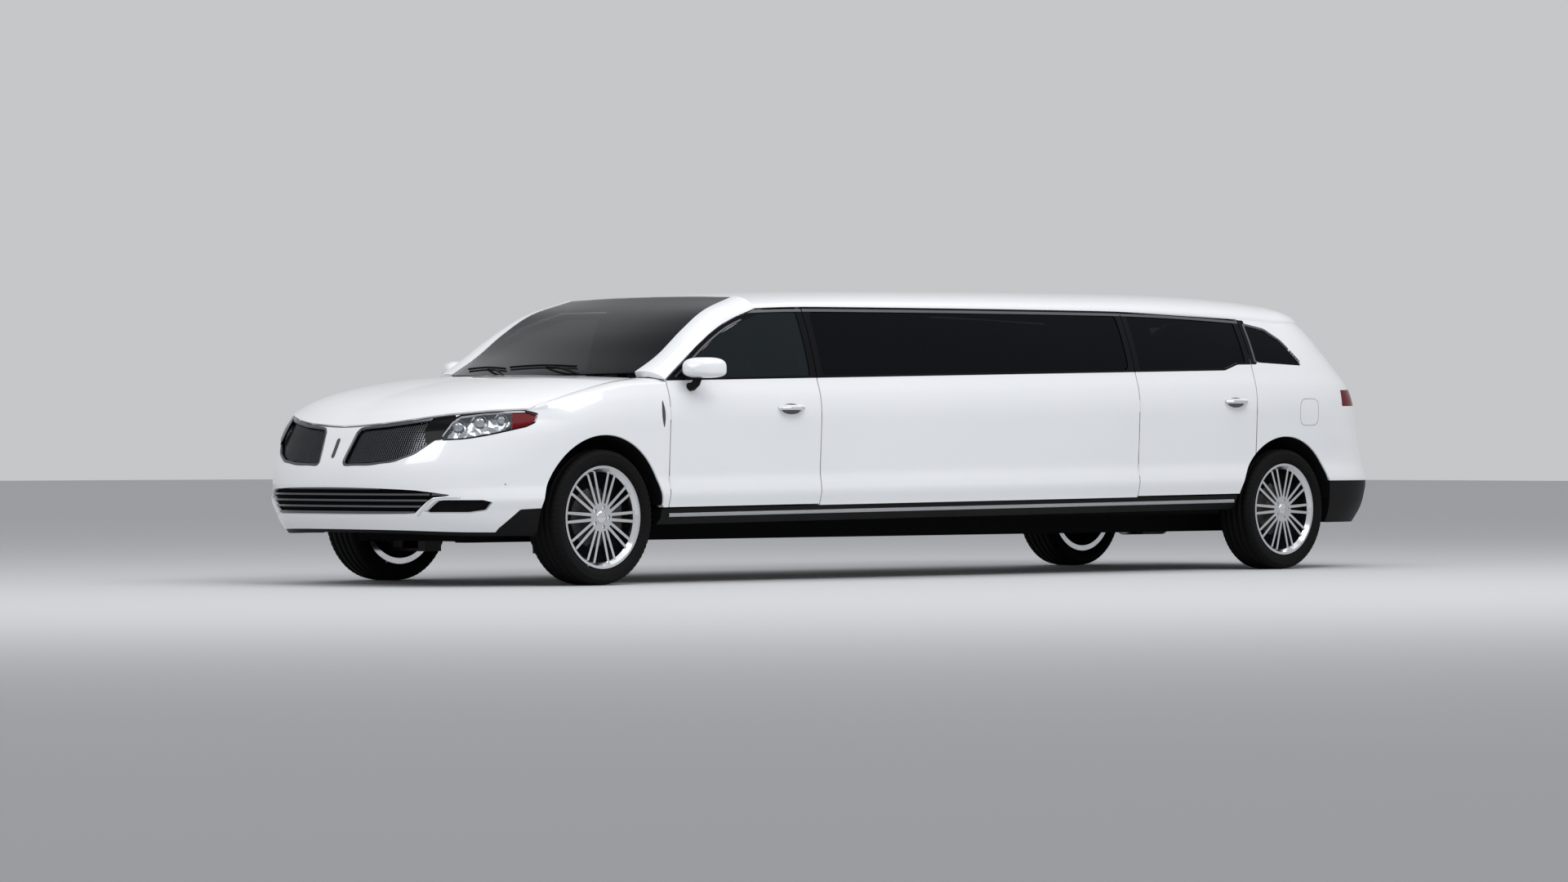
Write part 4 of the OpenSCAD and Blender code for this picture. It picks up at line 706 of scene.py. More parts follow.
# Front fenders: painted steel from the door's shut line over the arch to the lamp, bolted on;
# a plain dark blade is clipped on behind each arch.
FENDER_AREA = [[FD_X - 900, 0], [XF, 0], [XF + 300, 660], [XF + 390, 762], [XF + 390, 1300], [FD_X - 900, 1300]]


def nose_pt(turn, r, inset=0.0):
    """Point of the nose: at each share r of its height a superellipse from the side wall round to the middle."""
    x = XF + plan(turn, FRONT, 1.0, NOSE_POWER)[0]
    z = lerp(sill_z(x), shoulder_z(x), r)
    px, py = plan(turn, FRONT - smooth(NOSE_ROWS, z), side_y(np.minimum(r, 1)), NOSE_POWER, inset)
    return np.stack([XF + px, py, z], -1)


def fender_pt(a, r):
    """Point of the fender, a ahead of the axle: the wall or the nose up to r = 1, then in to the hood's side edge."""
    turn = np.arcsin(np.clip(np.maximum(a, 0) / FRONT, 0, 1) ** (NOSE_POWER / 2))
    low = np.minimum(r, 1)
    along = np.stack([XF + a, side_y(low), wall_z(XF + a, low)], -1)
    p = np.where((a > 0)[..., None], nose_pt(turn, low), along)
    cowl, lip = hood_cowl(np.array(1.0))[0], hood_front(np.array(1.0))[0]
    share = np.clip((XF + a - cowl) / (lip - cowl), 0, 1)
    q = hood_pt(share, np.ones_like(share))
    q = np.stack([XF + a, q[..., 1] + GAP, q[..., 2]], -1)
    k = np.maximum(r - 1, 0)[..., None]
    wide = np.minimum(1, (p[..., 1] - q[..., 1]) / 120)[..., None]
    return lerp(p, q, k) + np.array([0.0, 10.0, 40.0]) * wide * k * (1 - k)


def swell(p, back=1.0):
    """The upper corner stands proud beside the hood: a ramp up the wall times a ramp back from the lamp."""
    rise = back * np.clip((p[..., 2] - 898) / 60, 0, 1) * np.clip((XF + 540 - p[..., 0]) / 60, 0, 1)
    side = np.where(p[..., 1] < 0, -1.0, 1.0)
    return p + 17 * np.stack([0.24 * rise, 0.92 * rise * side, 0.3 * rise], -1)


def blade_shape(p):
    """Rule: a leaning lens shape, 12 mm to each side of its line at mid height."""
    up = p[:, 2] - 933
    return 12 * (1 - (up / 76) ** 2) - np.abs(p[:, 0] - XF + 434 - up * 0.06)


a, r = np.meshgrid(np.linspace(474, -490, 90), np.concatenate([np.linspace(0, 1, 80), np.linspace(1.02, 2, 24)]),
                   indexing="ij")
fender = fender_pt(a, r)
fender = swell(fender, np.clip((fender[..., 0] - XF - 230) / 150, 0, 1) * (1 - np.clip(r - 1, 0, 1)))
x, z = np.meshgrid(np.linspace(XF - 416, XF - 452, 16), np.linspace(852, 1014, 40), indexing="ij")
blade = np.stack([x, side_y((z - sill_z(x)) / (shoulder_z(x) - sill_z(x))), z], -1)
for name, s in SIDES:
    panel("skin_fender_" + name, mirrored(fender, s),
          [from_side(FENDER_AREA), arch(XF, ARCH_R - 1), lambda p: p[:, 0] - FD_X - HALF], paint, "body")
    panel("fender_blade_" + name, mirrored(blade, s), [blade_shape], dark_chrome, "body", 3, 4)

# Front bumper: one moulded, painted skin round the nose with openings for grille, lamps, intake
# and corner recesses; a black lip runs under it and black corners sit ahead of the wheels.
WING_ROWS = [[92, 652], [300, 656], [447, 673], [545, 712], [628, 790], [645, 860], [648, 905], [500, 888], [300, 868],
             [132, 846]]
LAMP_ROWS = [[-205, 792], [-60, 800], [70, 822], [296, 874], [316, 938], [60, 934], [-120, 912]]
INTAKE_ROWS = [[-200, 536], [300, 532], [560, 522], [660, 508], [738, 493], [655, 480], [578, 407], [556, 388],
               [300, 386], [-200, 386]]
FOG_ROWS = [[594, 394], [664, 462], [690, 468], [862, 468], [820, 396]]
CORNER = [[XF + 700, 230], [XF + 671, 315], [XF + 631, 359], [XF + 573, 416], [XF + 459, 421], [XF + 300, 424],
          [XF + 300, 230]]
WING = rounded(WING_ROWS, 2, 0.1)
HEADLAMP, INTAKE, FOG = rounded(LAMP_ROWS, 1), rounded(INTAKE_ROWS, 1), rounded(FOG_ROWS, 1)
EDGE = hood_front(np.linspace(0, 1, 200))
SIDE_EDGE = hood_pt(np.linspace(0, 1, 200), np.ones(200))
ROUND = np.linspace(-1, 1, 260)


def corner_place(p):
    """Place across the view on the corner: sideways less forward, over the root of two."""
    return (np.abs(p[:, 1]) - p[:, 0] + XF) / math.sqrt(2)


def from_corner(outline):
    """Rule: inside an outline seen square on to the front corner."""
    return lambda p: inside(outline, np.stack([corner_place(p), p[:, 2]], 1))


def under_hood(gap):
    """Rule: below the hood's front edge by a gap."""
    return lambda p: np.interp(np.abs(p[:, 1]), EDGE[:, 1], EDGE[:, 2]) - gap - p[:, 2]


def under_corner(p):
    """Rule: below the hood's front edge, and below its side edge past the corner."""
    side = np.interp(p[:, 0], SIDE_EDGE[:, 0], SIDE_EDGE[:, 2]) - 7 - p[:, 2]
    return np.where(np.abs(p[:, 1]) > 876, side, under_hood(12)(p))


def both_sides(p, across):
    """A sheet over both sides: the sideways place takes the sign of its row's place across the car."""
    p[..., 1] *= np.sign(across + 1e-9)[:, None]
    return p


def nose_sheet(rs, inset=0.0):
    """Grid of the whole nose, from side to side, at shares rs of its height."""
    turn, r = np.meshgrid(np.radians(90 - 87 * np.abs(ROUND)), rs, indexing="ij")
    return both_sides(nose_pt(turn, r, inset), ROUND)


nose = swell(nose_sheet(np.linspace(-0.22, 1.08, 110)))
panel("skin_bumper", nose,
      [without(from_side(FENDER_AREA)), arch(XF, ARCH_R - 1), without(from_front(WING)), without(from_corner(HEADLAMP)),
       without(from_front(INTAKE)), without(from_front(FOG)), under_corner], paint, "body", 1.5, 26)
panel("lip_front", nose_sheet(np.linspace(-0.26, -0.19, 6), 6.0), [arch(XF, ARCH_R - 1)], trim, "body", 1.0, 30)
panel("corner_black", nose, [from_side(CORNER), arch(XF, ARCH_R - 1), lambda p: np.abs(p[:, 1]) - 700], trim, "body",
      3.5, 20)

# Split wing grille: a dark chrome frame round each half, fine upright and cross bars in it and a
# black plate behind, painted shade of the space behind the bars; the lower intake and the corner recesses are set in
# the same way.
# Near-black felt: the black of the arch liners and the parts under the car, and painted shade on the plates behind the
# grille, intake and corner recesses and on the disc behind the spokes
felt_and_shade = finish("felt_and_shade", (0.003, 0.003, 0.004), 0.95, shine=0.1, tint=(0.008, 0.008, 0.009), spread=0.04,
              patch=60, grain=("Noise", 700, 0.0012))
satin = finish("satin", (0.44, 0.45, 0.47), 0.28, metal=1.0, tint=(0.5, 0.51, 0.53), spread=0.08,
               patch=3, grain=("Noise", 20, 0.0002), stretch=(1, 30, 30))
BAR_PITCH, BAR_DEEP = 12.5, 9.0
RECESS_LINE = np.array([[570, 384], [587, 398], [652, 468], [676, 478], [760, 482]], float)


def on_nose(y, z, inset=0.0):
    """Point of the nose at a sideways place and a height: the turn is solved for in six rounds."""
    y, z = np.broadcast_arrays(np.abs(np.asarray(y, float)), np.asarray(z, float))
    x = np.full(y.shape, XF + 1000.0)
    for _ in range(6):
        r = (z - sill_z(x)) / (shoulder_z(x) - sill_z(x))
        wide = side_y(np.minimum(r, 1))
        turn = np.arccos(np.clip((y / wide) ** (NOSE_POWER / 2), 0, 1))
        x = XF + plan(turn, FRONT, 1.0, NOSE_POWER)[0]
    return nose_pt(turn, r, inset)


def nose_patch(y0, y1, z0, z1, n, m, inset):
    """Grid of the nose over a rectangle seen from the front."""
    y, z = np.meshgrid(np.linspace(y0, y1, n), np.linspace(z0, z1, m), indexing="ij")
    return on_nose(y, z, inset)


def span(outline, at, axis):
    """Lowest and highest crossing of an outline with a line at one place."""
    a = np.array(outline)
    b = np.roll(a, -1, 0)
    hit = [q[1 - axis] + (at - q[axis]) / (w[axis] - q[axis]) * (w[1 - axis] - q[1 - axis]) for q, w in zip(a, b)
           if (q[axis] > at) != (w[axis] > at)]
    return (min(hit), max(hit)) if len(hit) > 1 else None


def turned_over(f, side):
    """Faces for mirrored points: on the right side each goes the other way round."""
    return f if side > 0 else f[:, [0, 3, 2, 1]]


def ribbons(name, lines, width, s, mat, inset):
    """Flat bars that follow the nose: each line, from a start to an end sideways and up, carries an oblong."""
    ends = np.array(lines, float)
    run = ends[:, 1] - ends[:, 0]
    across = np.stack([run[:, 1], -run[:, 0]], 1)
    across *= width / 2 / np.linalg.norm(across, axis=1, keepdims=True)
    line = lerp(ends[:, None, 0], ends[:, None, 1], np.linspace(0, 1, 9)[None, :, None])
    rows = []
    for e, d in ((-1, inset), (1, inset), (1, inset + BAR_DEEP), (-1, inset + BAR_DEEP)):
        q = line + e * across[:, None]
        rows.append(on_nose(q[..., 0], q[..., 1], d))
    one = turned_over(grid_quads(9, 4, False, True)[:, [0, 3, 2, 1]], s)
    f = (one + 36 * np.arange(len(ends))[:, None, None]).reshape(-1, 4)
    return add(name, mirrored(np.stack(rows, 2).reshape(-1, 3), s), f, mat, "body", smooth_shade=False)


def hood_line(y):
    """Height of the hood's front edge at a sideways place."""
    return np.interp(y, EDGE[:, 1], EDGE[:, 2])


uprights = [(y, span(WING, y, 0)) for y in np.arange(98, 648, BAR_PITCH)]
uprights = [((y, e[0]), (y, min(e[1], float(hood_line(y)) - 16))) for y, e in uprights if e]
crossings = [(z, span(WING, z, 1)) for z in np.arange(660, 905, BAR_PITCH)]
crossings = [((e[0], z), (e[1], z)) for z, e in crossings if e]
bars = [((0.0, z), (span(INTAKE, z, 1)[1] - 8, z)) for z in np.arange(401.0, 530, 32)]
loop = rounded(WING_ROWS, 3, 0.1)
loop[:, 1] = np.minimum(loop[:, 1], hood_line(loop[:, 0]) - 20)
q = np.linspace(0, 4, 40)
trace = [smooth(np.stack([np.arange(5), RECESS_LINE[:, i]], 1), q) for i in (0, 1)]
spot = on_nose(np.array(872.0), np.array(548.0))
wing_at, lamp_at = from_front(WING), from_corner(HEADLAMP)
for name, s in SIDES:
    # Painted shade: a near-black plate behind the bars stands for the dark space behind the grille
    panel("grille_shade_plate_" + name, mirrored(nose_patch(80, 665, 640, 912, 60, 30, 33.0), s),
          [wing_at, under_hood(14)], felt_and_shade, "body", 0, 2)
    ribbons("grille_upright_" + name, uprights, 4.2, s, dark_chrome, 15.0)
    ribbons("grille_cross_" + name, crossings, 3.0, s, dark_chrome, 19.0)
    ribbons("intake_bars_" + name, bars, 10.4, s, dark_chrome, 12.5)
    tube("grille_frame_" + name, mirrored(on_nose(loop[:, 0], loop[:, 1], 4.0), s), 9.0, dark_chrome, "body",
         closed=True)
    # Painted shade: a near-black plate at the back of the corner recess
    panel("recess_" + name, mirrored(nose_patch(580, 880, 388, 476, 50, 20, 24.0), s), [from_front(FOG)], felt_and_shade, "body",
          0, 2)
    tube("recess_edge_" + name, mirrored(on_nose(*trace, -1.5), s), 5.0, chrome, "body", ring=8)
    tube("sensor_" + name, mirrored([spot + np.array([-2, -4, 0]), spot + np.array([0.7, 1.6, 0])], s), 8, satin,
         "body", ring=16)
    # Black filler between the wing and the headlamp, and a thin gloss black ring round the lamp, painted shade of the
    # gap under the hood's edge
    patch = mirrored(swell(nose_patch(480, 935, 740, 960, 150, 80, 0.0)), s)
    panel("filler_" + name, patch,
          [lambda p: np.minimum(lamp_at(p) + 92, -lamp_at(p)), lambda p: wing_at(p) + 30, under_hood(12),
           lambda p: p[:, 2] - np.interp(np.abs(p[:, 1]), [480, 545, 628, 720], [684, 712, 788, 798])], gloss, "body",
          6.5, 10)
    # Painted shade: a thin black ring outside the lamp and below the hood stands for the shade in the gap
    panel("lamp_gap_shade_" + name, patch, [lambda p: np.minimum(lamp_at(p) + 8, -lamp_at(p)), under_hood(12)], gloss, "body",
          2.6, 4)
# Painted shade: a near-black plate behind the intake bars
half = nose_patch(0, 760, 378, 545, 80, 24, 34.0)
panel("intake_shade_plate", np.concatenate([mirrored(half[:0:-1], -1), half]), [from_front(INTAKE)], felt_and_shade, "body", 0, 2)
# Painted shade: a dark chrome upright between the grille halves stands for the shaded inside of the slot
half = nose_patch(0, 16, 690, 800, 10, 30, 0.0)
panel("centre_slot_shade", np.concatenate([mirrored(half[::-1], -1), half[1:]]),
      [lambda p: 13 - np.hypot(p[:, 1], np.maximum(np.abs(p[:, 2] - 745) - 40, 0))], dark_chrome, "body", 3.5, 5)

# Headlamps: a clear moulded cover on the body line, a bright faceted well behind it, three chromed
# bowls with projector lenses, and a red marker at the outer end.
lens_clear = finish("lens_clear", (0.6, 0.65, 0.7), 0.03, alpha=0.07, spread=0.012, patch=12)
lens_marker = finish("lens_marker", (0.1, 0.002, 0.004), 0.12, shine=0.08, tint=(0.14, 0.002, 0.005),
                     spread=0.04, patch=30, grain=("Voronoi", 130, 0.0004))
bulb = finish("bulb", (0.3, 0.32, 0.35), 0.1, metal=0.7, tint=(0.4, 0.42, 0.45), spread=0.04, patch=40)
reflector = finish("reflector", (0.5, 0.52, 0.55), 0.2, metal=1.0, tint=(0.36, 0.38, 0.41), spread=0.08,
                   patch=20, grain=("Voronoi", 27, 0.007))
LAMP_TURN = math.radians(40)
FACING = np.array([math.cos(LAMP_TURN), math.sin(LAMP_TURN), 0.0])
SIDE_ON = np.array([-FACING[1], FACING[0], 0.0])
BOWLS = ((700, 856, 50), (776, 880, 50), (838, 894, 40))


def outer_end(p):
    """Rule: the marker's end of the lamp."""
    return corner_place(p) - 185


def lamp_sheet(n, m, inset=0.0):
    """Grid of the nose behind the lamp's cover, n points round and m up."""
    return nose_pt(*np.meshgrid(np.radians(np.linspace(78, 14, n)), np.linspace(0.5, 1.12, m), indexing="ij"), inset)


rules = [lamp_at, without(wing_at), without(from_side(FENDER_AREA)), under_hood(12)]
q = np.linspace(0, math.pi / 2, 14)[:, None, None]
w = np.linspace(0, 2 * math.pi, 36, endpoint=False)[None, :, None]
spoke = np.cos(w) * SIDE_ON + np.sin(w) * np.array([0, 0, 1.0])
for name, s in SIDES:
    cover = panel("lens_head_" + name, mirrored(lamp_sheet(90, 60), s), rules + [without(outer_end)], lens_clear,
                  "body", 0.5, 3)
    if s > 0:
        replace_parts(cover, "headlamps")
    panel("marker_" + name, mirrored(lamp_sheet(90, 60), s), rules + [outer_end], lens_marker, "body", 0.5, 20)
    panel("lamp_well_" + name, mirrored(lamp_sheet(60, 40, 62.0), s), [lamp_at, under_hood(10)], reflector, "body", 0,
          2)
    for i, (y, z, size) in enumerate(BOWLS):
        spot = on_nose(np.array(float(y)), np.array(float(z)), 46.0)
        for part, rad, deep, mat in (("bowl", size, -0.6, chrome), ("ball", size * 0.58, 0.55, bulb)):
            v = spot + deep * rad * np.cos(q) * FACING + rad * np.sin(q) * spoke
            add(f"lamp_{part}_{i}_{name}", mirrored(v.reshape(-1, 3), s),
                turned_over(grid_quads(14, 36, False, True), s), mat, "body")

# Tail: the liftgate's painted skin with its window, lamp bar and spoiler, hinged at the roof;
# under it the painted bumper strip and a black moulded valance.
GATE_WINDOW = [[-10, 1225], [620, 1225], [560, 1400], [490, 1525], [-10, 1525]]
LAMP_BAR = [[-10, 1036], [GATE_Y - 26, 1036], [GATE_Y - 26, 1108], [-10, 1108]]
GATE_FRONT = ROOF_BACK - GAP - 3
ACROSS = np.linspace(-1, 1, 150)
GATE_ROWS = np.linspace(670, 1612, 130)
SPOILER_HALF = 500


def tail_sheet(sweep, zs, inset=0.0):
    """Grid of the whole tail at heights zs, from the middle round by sweep degrees to each side."""
    turn, z = np.meshgrid(np.radians(90 - sweep * np.abs(ACROSS)), zs, indexing="ij")
    return both_sides(tail_pt(turn, z, inset), ACROSS)


panel("skin_liftgate", tail_sheet(60, GATE_ROWS),
      [from_front(gate_outline(1.0)), lambda p: GATE_FRONT - p[:, 0], without(from_front(GATE_WINDOW)),
       without(from_front(LAMP_BAR))], paint, "liftgate")
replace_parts(panel("pane_liftgate", tail_sheet(60, GATE_ROWS, 5.0), [from_front(GATE_WINDOW)], privacy, "liftgate", 0,
                  5), "liftgate_glass")
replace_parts(panel("lens_gate", tail_sheet(60, GATE_ROWS), [from_front(LAMP_BAR)], lens_red, "liftgate", 0.5, 10),
            "gate_lamp")
panel("skin_rear_bumper", tail_sheet(84, np.linspace(SEAM_Z, GATE_LOW - GAP, 40)),
      [lambda p: GATE_Y + GAP - np.abs(p[:, 1])], paint, "body")
panel("skin_valance", tail_sheet(89.5, np.linspace(285, SEAM_Z, 40), 2.0), [arch(XR, ARCH_R - 1)], trim, "body")
y, q = np.meshgrid(np.linspace(-SPOILER_HALF, SPOILER_HALF, 60), np.linspace(0, 2 * math.pi, 28), indexing="ij")
bend = (y / SPOILER_HALF) ** 2
full = np.sqrt(np.maximum(1 - bend ** 4, 0))
lip = np.stack([ROOF_BACK - 62 + 40 * bend + 52 * full * np.cos(q), y,
                1586 - 26 * bend + full * (13 * np.sin(q) + 12 * np.cos(q))], -1)
panel("spoiler", lip, [], paint, "liftgate", 0, 2)
y = np.linspace(-150, 150, 12)
tube("stop_lamp", np.stack([ROOF_BACK - 112 + 4 * (y / 150) ** 2, y, np.full(12, 1574.0)], -1), 5, lens_red,
     "liftgate")

# Sills and wheel arches: a satin metal strip along each sill, and in each arch a black felt liner
# behind a rolled, painted lip; the rear arch is shared with the rear door.
for name, s in SIDES:
    x, q = np.meshgrid(np.linspace(FD_X - 20, XR + 470, 40), np.linspace(-1, 1, 8), indexing="ij")
    strip = np.stack([x, 926 + 5 * (1 - q * q), sill_z(x) - 44 + 11 * q], -1)
    panel("sill_strip_" + name, mirrored(strip, s), [], satin, "body", 0, 6)
    w = np.linspace(math.radians(16), math.radians(172), 80)
    for end, cx in (("front", XF), ("rear", XR)):
        x, z = cx + (ARCH_R + 1) * np.cos(w), HUB_Z + (ARCH_R + 1) * np.sin(w)
        if end == "front":
            r = (z - sill_z(x)) / (shoulder_z(x) - sill_z(x))
            y = fender_pt(x - XF, np.clip(r, -0.1, 1))[:, 1]
            whole = np.ones(len(w), bool)
            parts = [("front", "body", whole, whole)]
        else:
            r = (z - sill_z(x)) / (belt_z(x) - sill_z(x))
            y = np.where(x < XR - TAIL_START, tail_y(x, z, 300), side_y(r))
            ahead, rest = x > RD_BACK + 6, x < RD_BACK - 6
            parts = [("rear", "body", rest, rest & (z > SEAM_Z + 20)),
                     ("rear_door", "rear_door_" + name, ahead, ahead)]
        line = np.stack([x, y - 5, z], -1)
        for part, body, lined, lipped in parts:
            rim = line[lined]
            inner = rim + (np.array([cx, 0, HUB_Z]) - rim * np.array([1, 0, 1])) * (4.5 / ARCH_R)
            strip = np.stack([inner - np.array([0, 6.0, 0]), inner - np.array([0, 130.0, 0])])
            add(f"arch_liner_{part}_{name}", mirrored(strip.reshape(-1, 3), s),
                turned_over(grid_quads(2, len(rim)), s), felt_and_shade, body)
            tube(f"arch_lip_{part}_{name}", mirrored(line[lipped], s), 6, paint, body, ring=8)

# Door mirrors: a painted moulded shell on a black foot, screwed to the front door, with a
# silvered glass in its rear face.
mirror_glass = finish("mirror_glass", (0.7, 0.72, 0.74), 0.02, metal=1.0, spread=0.01, patch=8)
MIRROR_RINGS = [[-82, 0.42], [-78, 0.62], [-70, 0.8], [-48, 0.95], [-13, 1], [22, 0.93], [54, 0.72], [72, 0.4],
                [77, 0.02]]
MIRROR_X, MIRROR_SHARE, RING = FD_X - 185, 0.97, 63
my = float(wall_y(np.array(MIRROR_SHARE)))
mz = float(wall_z(np.array(MIRROR_X), np.array(MIRROR_SHARE)))
rows = np.linspace(-82, 77, 44)[:, None]
share = np.maximum(smooth(MIRROR_RINGS, rows), 0.02)
c, d = squared(np.linspace(0, 2 * math.pi, RING, endpoint=False), 0.62)
d = np.where(d < 0, d * 0.72, d)
shell = np.stack([MIRROR_X + rows - 50 * share * c, my + 92 + 92 * share * c, mz + 92 + 66 * share * d], -1)
face = np.stack([MIRROR_X - 83 - 30 * c, my + 92 + 60 * c, mz + 92 + 40 * d], -1)
foot = np.array([[14, -4, -6], [12, 26, -2], [8, 48, 16], [4, 62, 50]]) + np.array([MIRROR_X, my, mz])
for name, s in SIDES:
    body = "front_door_" + name
    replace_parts(add("mirror_shell_" + name, mirrored(shell.reshape(-1, 3), s),
                    turned_over(grid_quads(44, RING, False, True)[:, [0, 3, 2, 1]], s), paint, body), "mirror_" + name)
    add("mirror_face_" + name, mirrored(face, s), [list(range(RING))[::-int(s)]], mirror_glass, body)
    tube("mirror_foot_" + name, mirrored(foot, s), 24, trim, body, ring=20)

# Wheels: moulded tyres with four grooves, shoulder blocks and sidewall rings; a polished hub cap,
# wheel nuts, a cast brake disc and a near-black disc of painted shade behind the spokes, all about the cross-car axis.
alloy = finish("alloy", (0.77, 0.78, 0.8), 0.15, metal=1.0, tint=(0.7, 0.71, 0.73), spread=0.06,
               patch=14, grain=("Noise", 260, 0.00005))
iron = finish("iron", (0.06, 0.06, 0.065), 0.5, metal=0.8, tint=(0.085, 0.07, 0.06), spread=0.14, patch=30,
              grain=("Noise", 240, 0.0008))
HALF_TRACK, TYRE_HALF, TREAD_R, TREAD_STEPS, NUT_R = 830.0, 125.0, 370.0, 288, 56
HUB_FACE = TYRE_HALF - 32
INNER = [(284, -26), (300, -12), (322, -3), (340, -3), (352, -8), (360, -15), (366, -24)]
OUTER = [(366, -24), (360, -15), (352, -8), (344, -3.5), (341, -2), (338, -3.5), (322, -2.5), (306, -6), (303, -9),
         (298, -12), (288, -18), (284, -26)]


def lathe(name, profile, x, y, z, out, mat, body, steps=96, cut=0.0):
    """Turned piece about the cross-car axis: rows of radius, less any cut, and distance outwards."""
    q = np.array(profile, float)
    w = np.linspace(0, 2 * math.pi, steps, endpoint=False)[:, None]
    rad = q[None, :, 0] - cut
    v = np.stack(np.broadcast_arrays(x + rad * np.cos(w), y + out * q[None, :, 1], z + rad * np.sin(w)), -1)
    f = grid_quads(steps, len(q), True)
    return add(name, v.reshape(-1, 3), f[:, ::-1] if out > 0 else f, mat, body)


tyre = [(r, -TYRE_HALF - d) for r, d in INNER]
for g in (-66, -22, 22, 66):
    tyre += [(TREAD_R - 0.4, g - 7), (TREAD_R - 8, g - 5), (TREAD_R - 8, g + 5), (TREAD_R - 0.4, g + 7)]
tyre += [(r, TYRE_HALF + d) for r, d in OUTER]
shoulder = np.abs(np.abs(np.array(tyre)[None, :, 1]) - 104) < 14
notch = 5.0 * ((np.arange(TREAD_STEPS) % 4 == 0)[:, None] & shoulder)
# The last turned piece is painted shade: a near-black disc behind the spokes
TURNED = (("hub_cap", [(0.01, 9), (20, 8.5), (32, 6), (36, 1), (36, -6)], alloy, 48),
          ("brake", [(70, -66), (160, -66), (163, -69), (163, -80)], iron, 72),
          ("spoke_shade_disc", [(60, -78), (254, -78)], felt_and_shade, 72))
NUT = [(0.01, HUB_FACE - 4), (8, HUB_FACE - 4.5), (9.5, HUB_FACE - 7), (9.5, HUB_FACE - 30)]
for end, cx in (("front", XF), ("rear", XR)):
    for name, s in SIDES:
        body, hub_y = f"wheel_{end}_{name}", s * HALF_TRACK
        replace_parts(lathe(f"tread_{end}_{name}", tyre, cx, hub_y, HUB_Z, s, rubber, body, TREAD_STEPS, notch),
                    f"tyre_{end}_{name}")
        for part, profile, mat, steps in TURNED:
            lathe(f"{part}_{end}_{name}", [(r, HUB_FACE + d) for r, d in profile], cx, hub_y, HUB_Z, s, mat, body,
                  steps)
        for i in range(5):
            a = math.radians(i * 72 + 36)
            lathe(f"nut_{i}_{end}_{name}", NUT, cx + NUT_R * math.cos(a), hub_y, HUB_Z - NUT_R * math.sin(a), s,
                  chrome, body, 18)

# Cabin: stuffed leather seats and benches on black plinths, leather door cards with arm rests,
# pulls and speakers, and the gauges and display, as they show through the glass and the open doors.
hide = finish("hide", (0.045, 0.043, 0.041), 0.5, shine=0.3, tint=(0.058, 0.055, 0.053), spread=0.08,
              patch=6, grain=("Voronoi", 300, 0.0009))
SEAT_X, FLOOR_TOP = XF - 960, 374.0


def pillow(name, centre, size, tilt, body, seams=(0,)):
    """Stuffed cushion: the six sides of a box rounded by a sixth-power norm, its walls pulled in
    between the corners, its face crowned and sewn in along the seams, tilted about the cross axis."""
    n = 29
    u, w = np.meshgrid(np.linspace(-1, 1, n), np.linspace(-1, 1, n), indexing="ij")
    v, f = [], []
    for axis in range(3):
        for end in (1, -1):
            v.append(np.roll(np.stack([np.full_like(u, end), u, w], -1).reshape(-1, 3), axis, 1))
            f.append(grid_quads(n, n)[:, ::end] + len(f) * n * n)
    v, back = np.unique(np.concatenate(v).round(6), axis=0, return_inverse=True)
    f = back.ravel()[np.concatenate(f)]
    v = v / (v ** 6).sum(1, keepdims=True) ** (1 / 6)
    x, y, z = v.T
    tuck = 1 - 0.05 * (1 - z * z)
    place = np.stack([x * (tuck - 0.03 * (1 - y * y)) * size[0], y * (tuck - 0.03 * (1 - x * x)) * size[1],
                      z * size[2]], 1) / 2
    face = np.clip(3 * z - 1.6, 0, 1)
    sewn = sum(np.exp(-((place[:, 1] - q) / 12) ** 2) for q in seams)
    place[:, 2] += face * (0.12 * size[2] * (1 - x * x) * (1 - y * y) - 9 * sewn)
    t = math.radians(tilt)
    place = np.stack([place[:, 0] * math.cos(t) + place[:, 2] * math.sin(t), place[:, 1],
                      place[:, 2] * math.cos(t) - place[:, 0] * math.sin(t)], 1) + np.array(centre, float)
    obj = add(name, place, f, hide, body)
    return obj


def block(name, low, high, mat, body, bevel=6.0):
    """Box between two corners with its edges rounded over."""
    v = np.stack(np.meshgrid(*zip(low, high), indexing="ij"), -1).reshape(-1, 3)
    f = [[0, 1, 3, 2], [4, 6, 7, 5], [0, 4, 5, 1], [2, 3, 7, 6], [0, 2, 6, 4], [1, 5, 7, 3]]
    obj = add(name, v, f, mat, body, smooth_shade=False)
    soft = obj.modifiers.new("bevel", "BEVEL")
    soft.width = bevel * MM
    soft.segments = 3
    return obj


for name, s in SIDES:
    y = 380 * s
    base = pillow("seat_front_" + name, (SEAT_X - 240, y, FLOOR_TOP + 260), (510, 520, 150), -4, "body", (-140, 140))
    pillow("seat_front_back_" + name, (SEAT_X - 560, y, FLOOR_TOP + 430), (620, 500, 120), 80, "body", (-140, 140))
    pillow("seat_front_head_" + name, (SEAT_X - 640, y, FLOOR_TOP + 812), (170, 260, 90), 80, "body", ())
    block("seat_front_base_" + name, (SEAT_X - 480, y - 220, FLOOR_TOP + 1), (SEAT_X - 30, y + 220, FLOOR_TOP + 190),
          trim, "body", 12)
    if s > 0:
        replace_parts(base, "front_seats")
for i in range(3):
    y = -374 + 374 * i
    cushion = pillow(f"bench_rear_{i}", (XR + 700, y, FLOOR_TOP + 270), (560, 366, 130), -3, "body")
    pillow(f"bench_rear_back_{i}", (XR + 370, y, FLOOR_TOP + 520), (420, 366, 110), 83, "body")
    if i == 0:
        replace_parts(cushion, "lounge_seats")
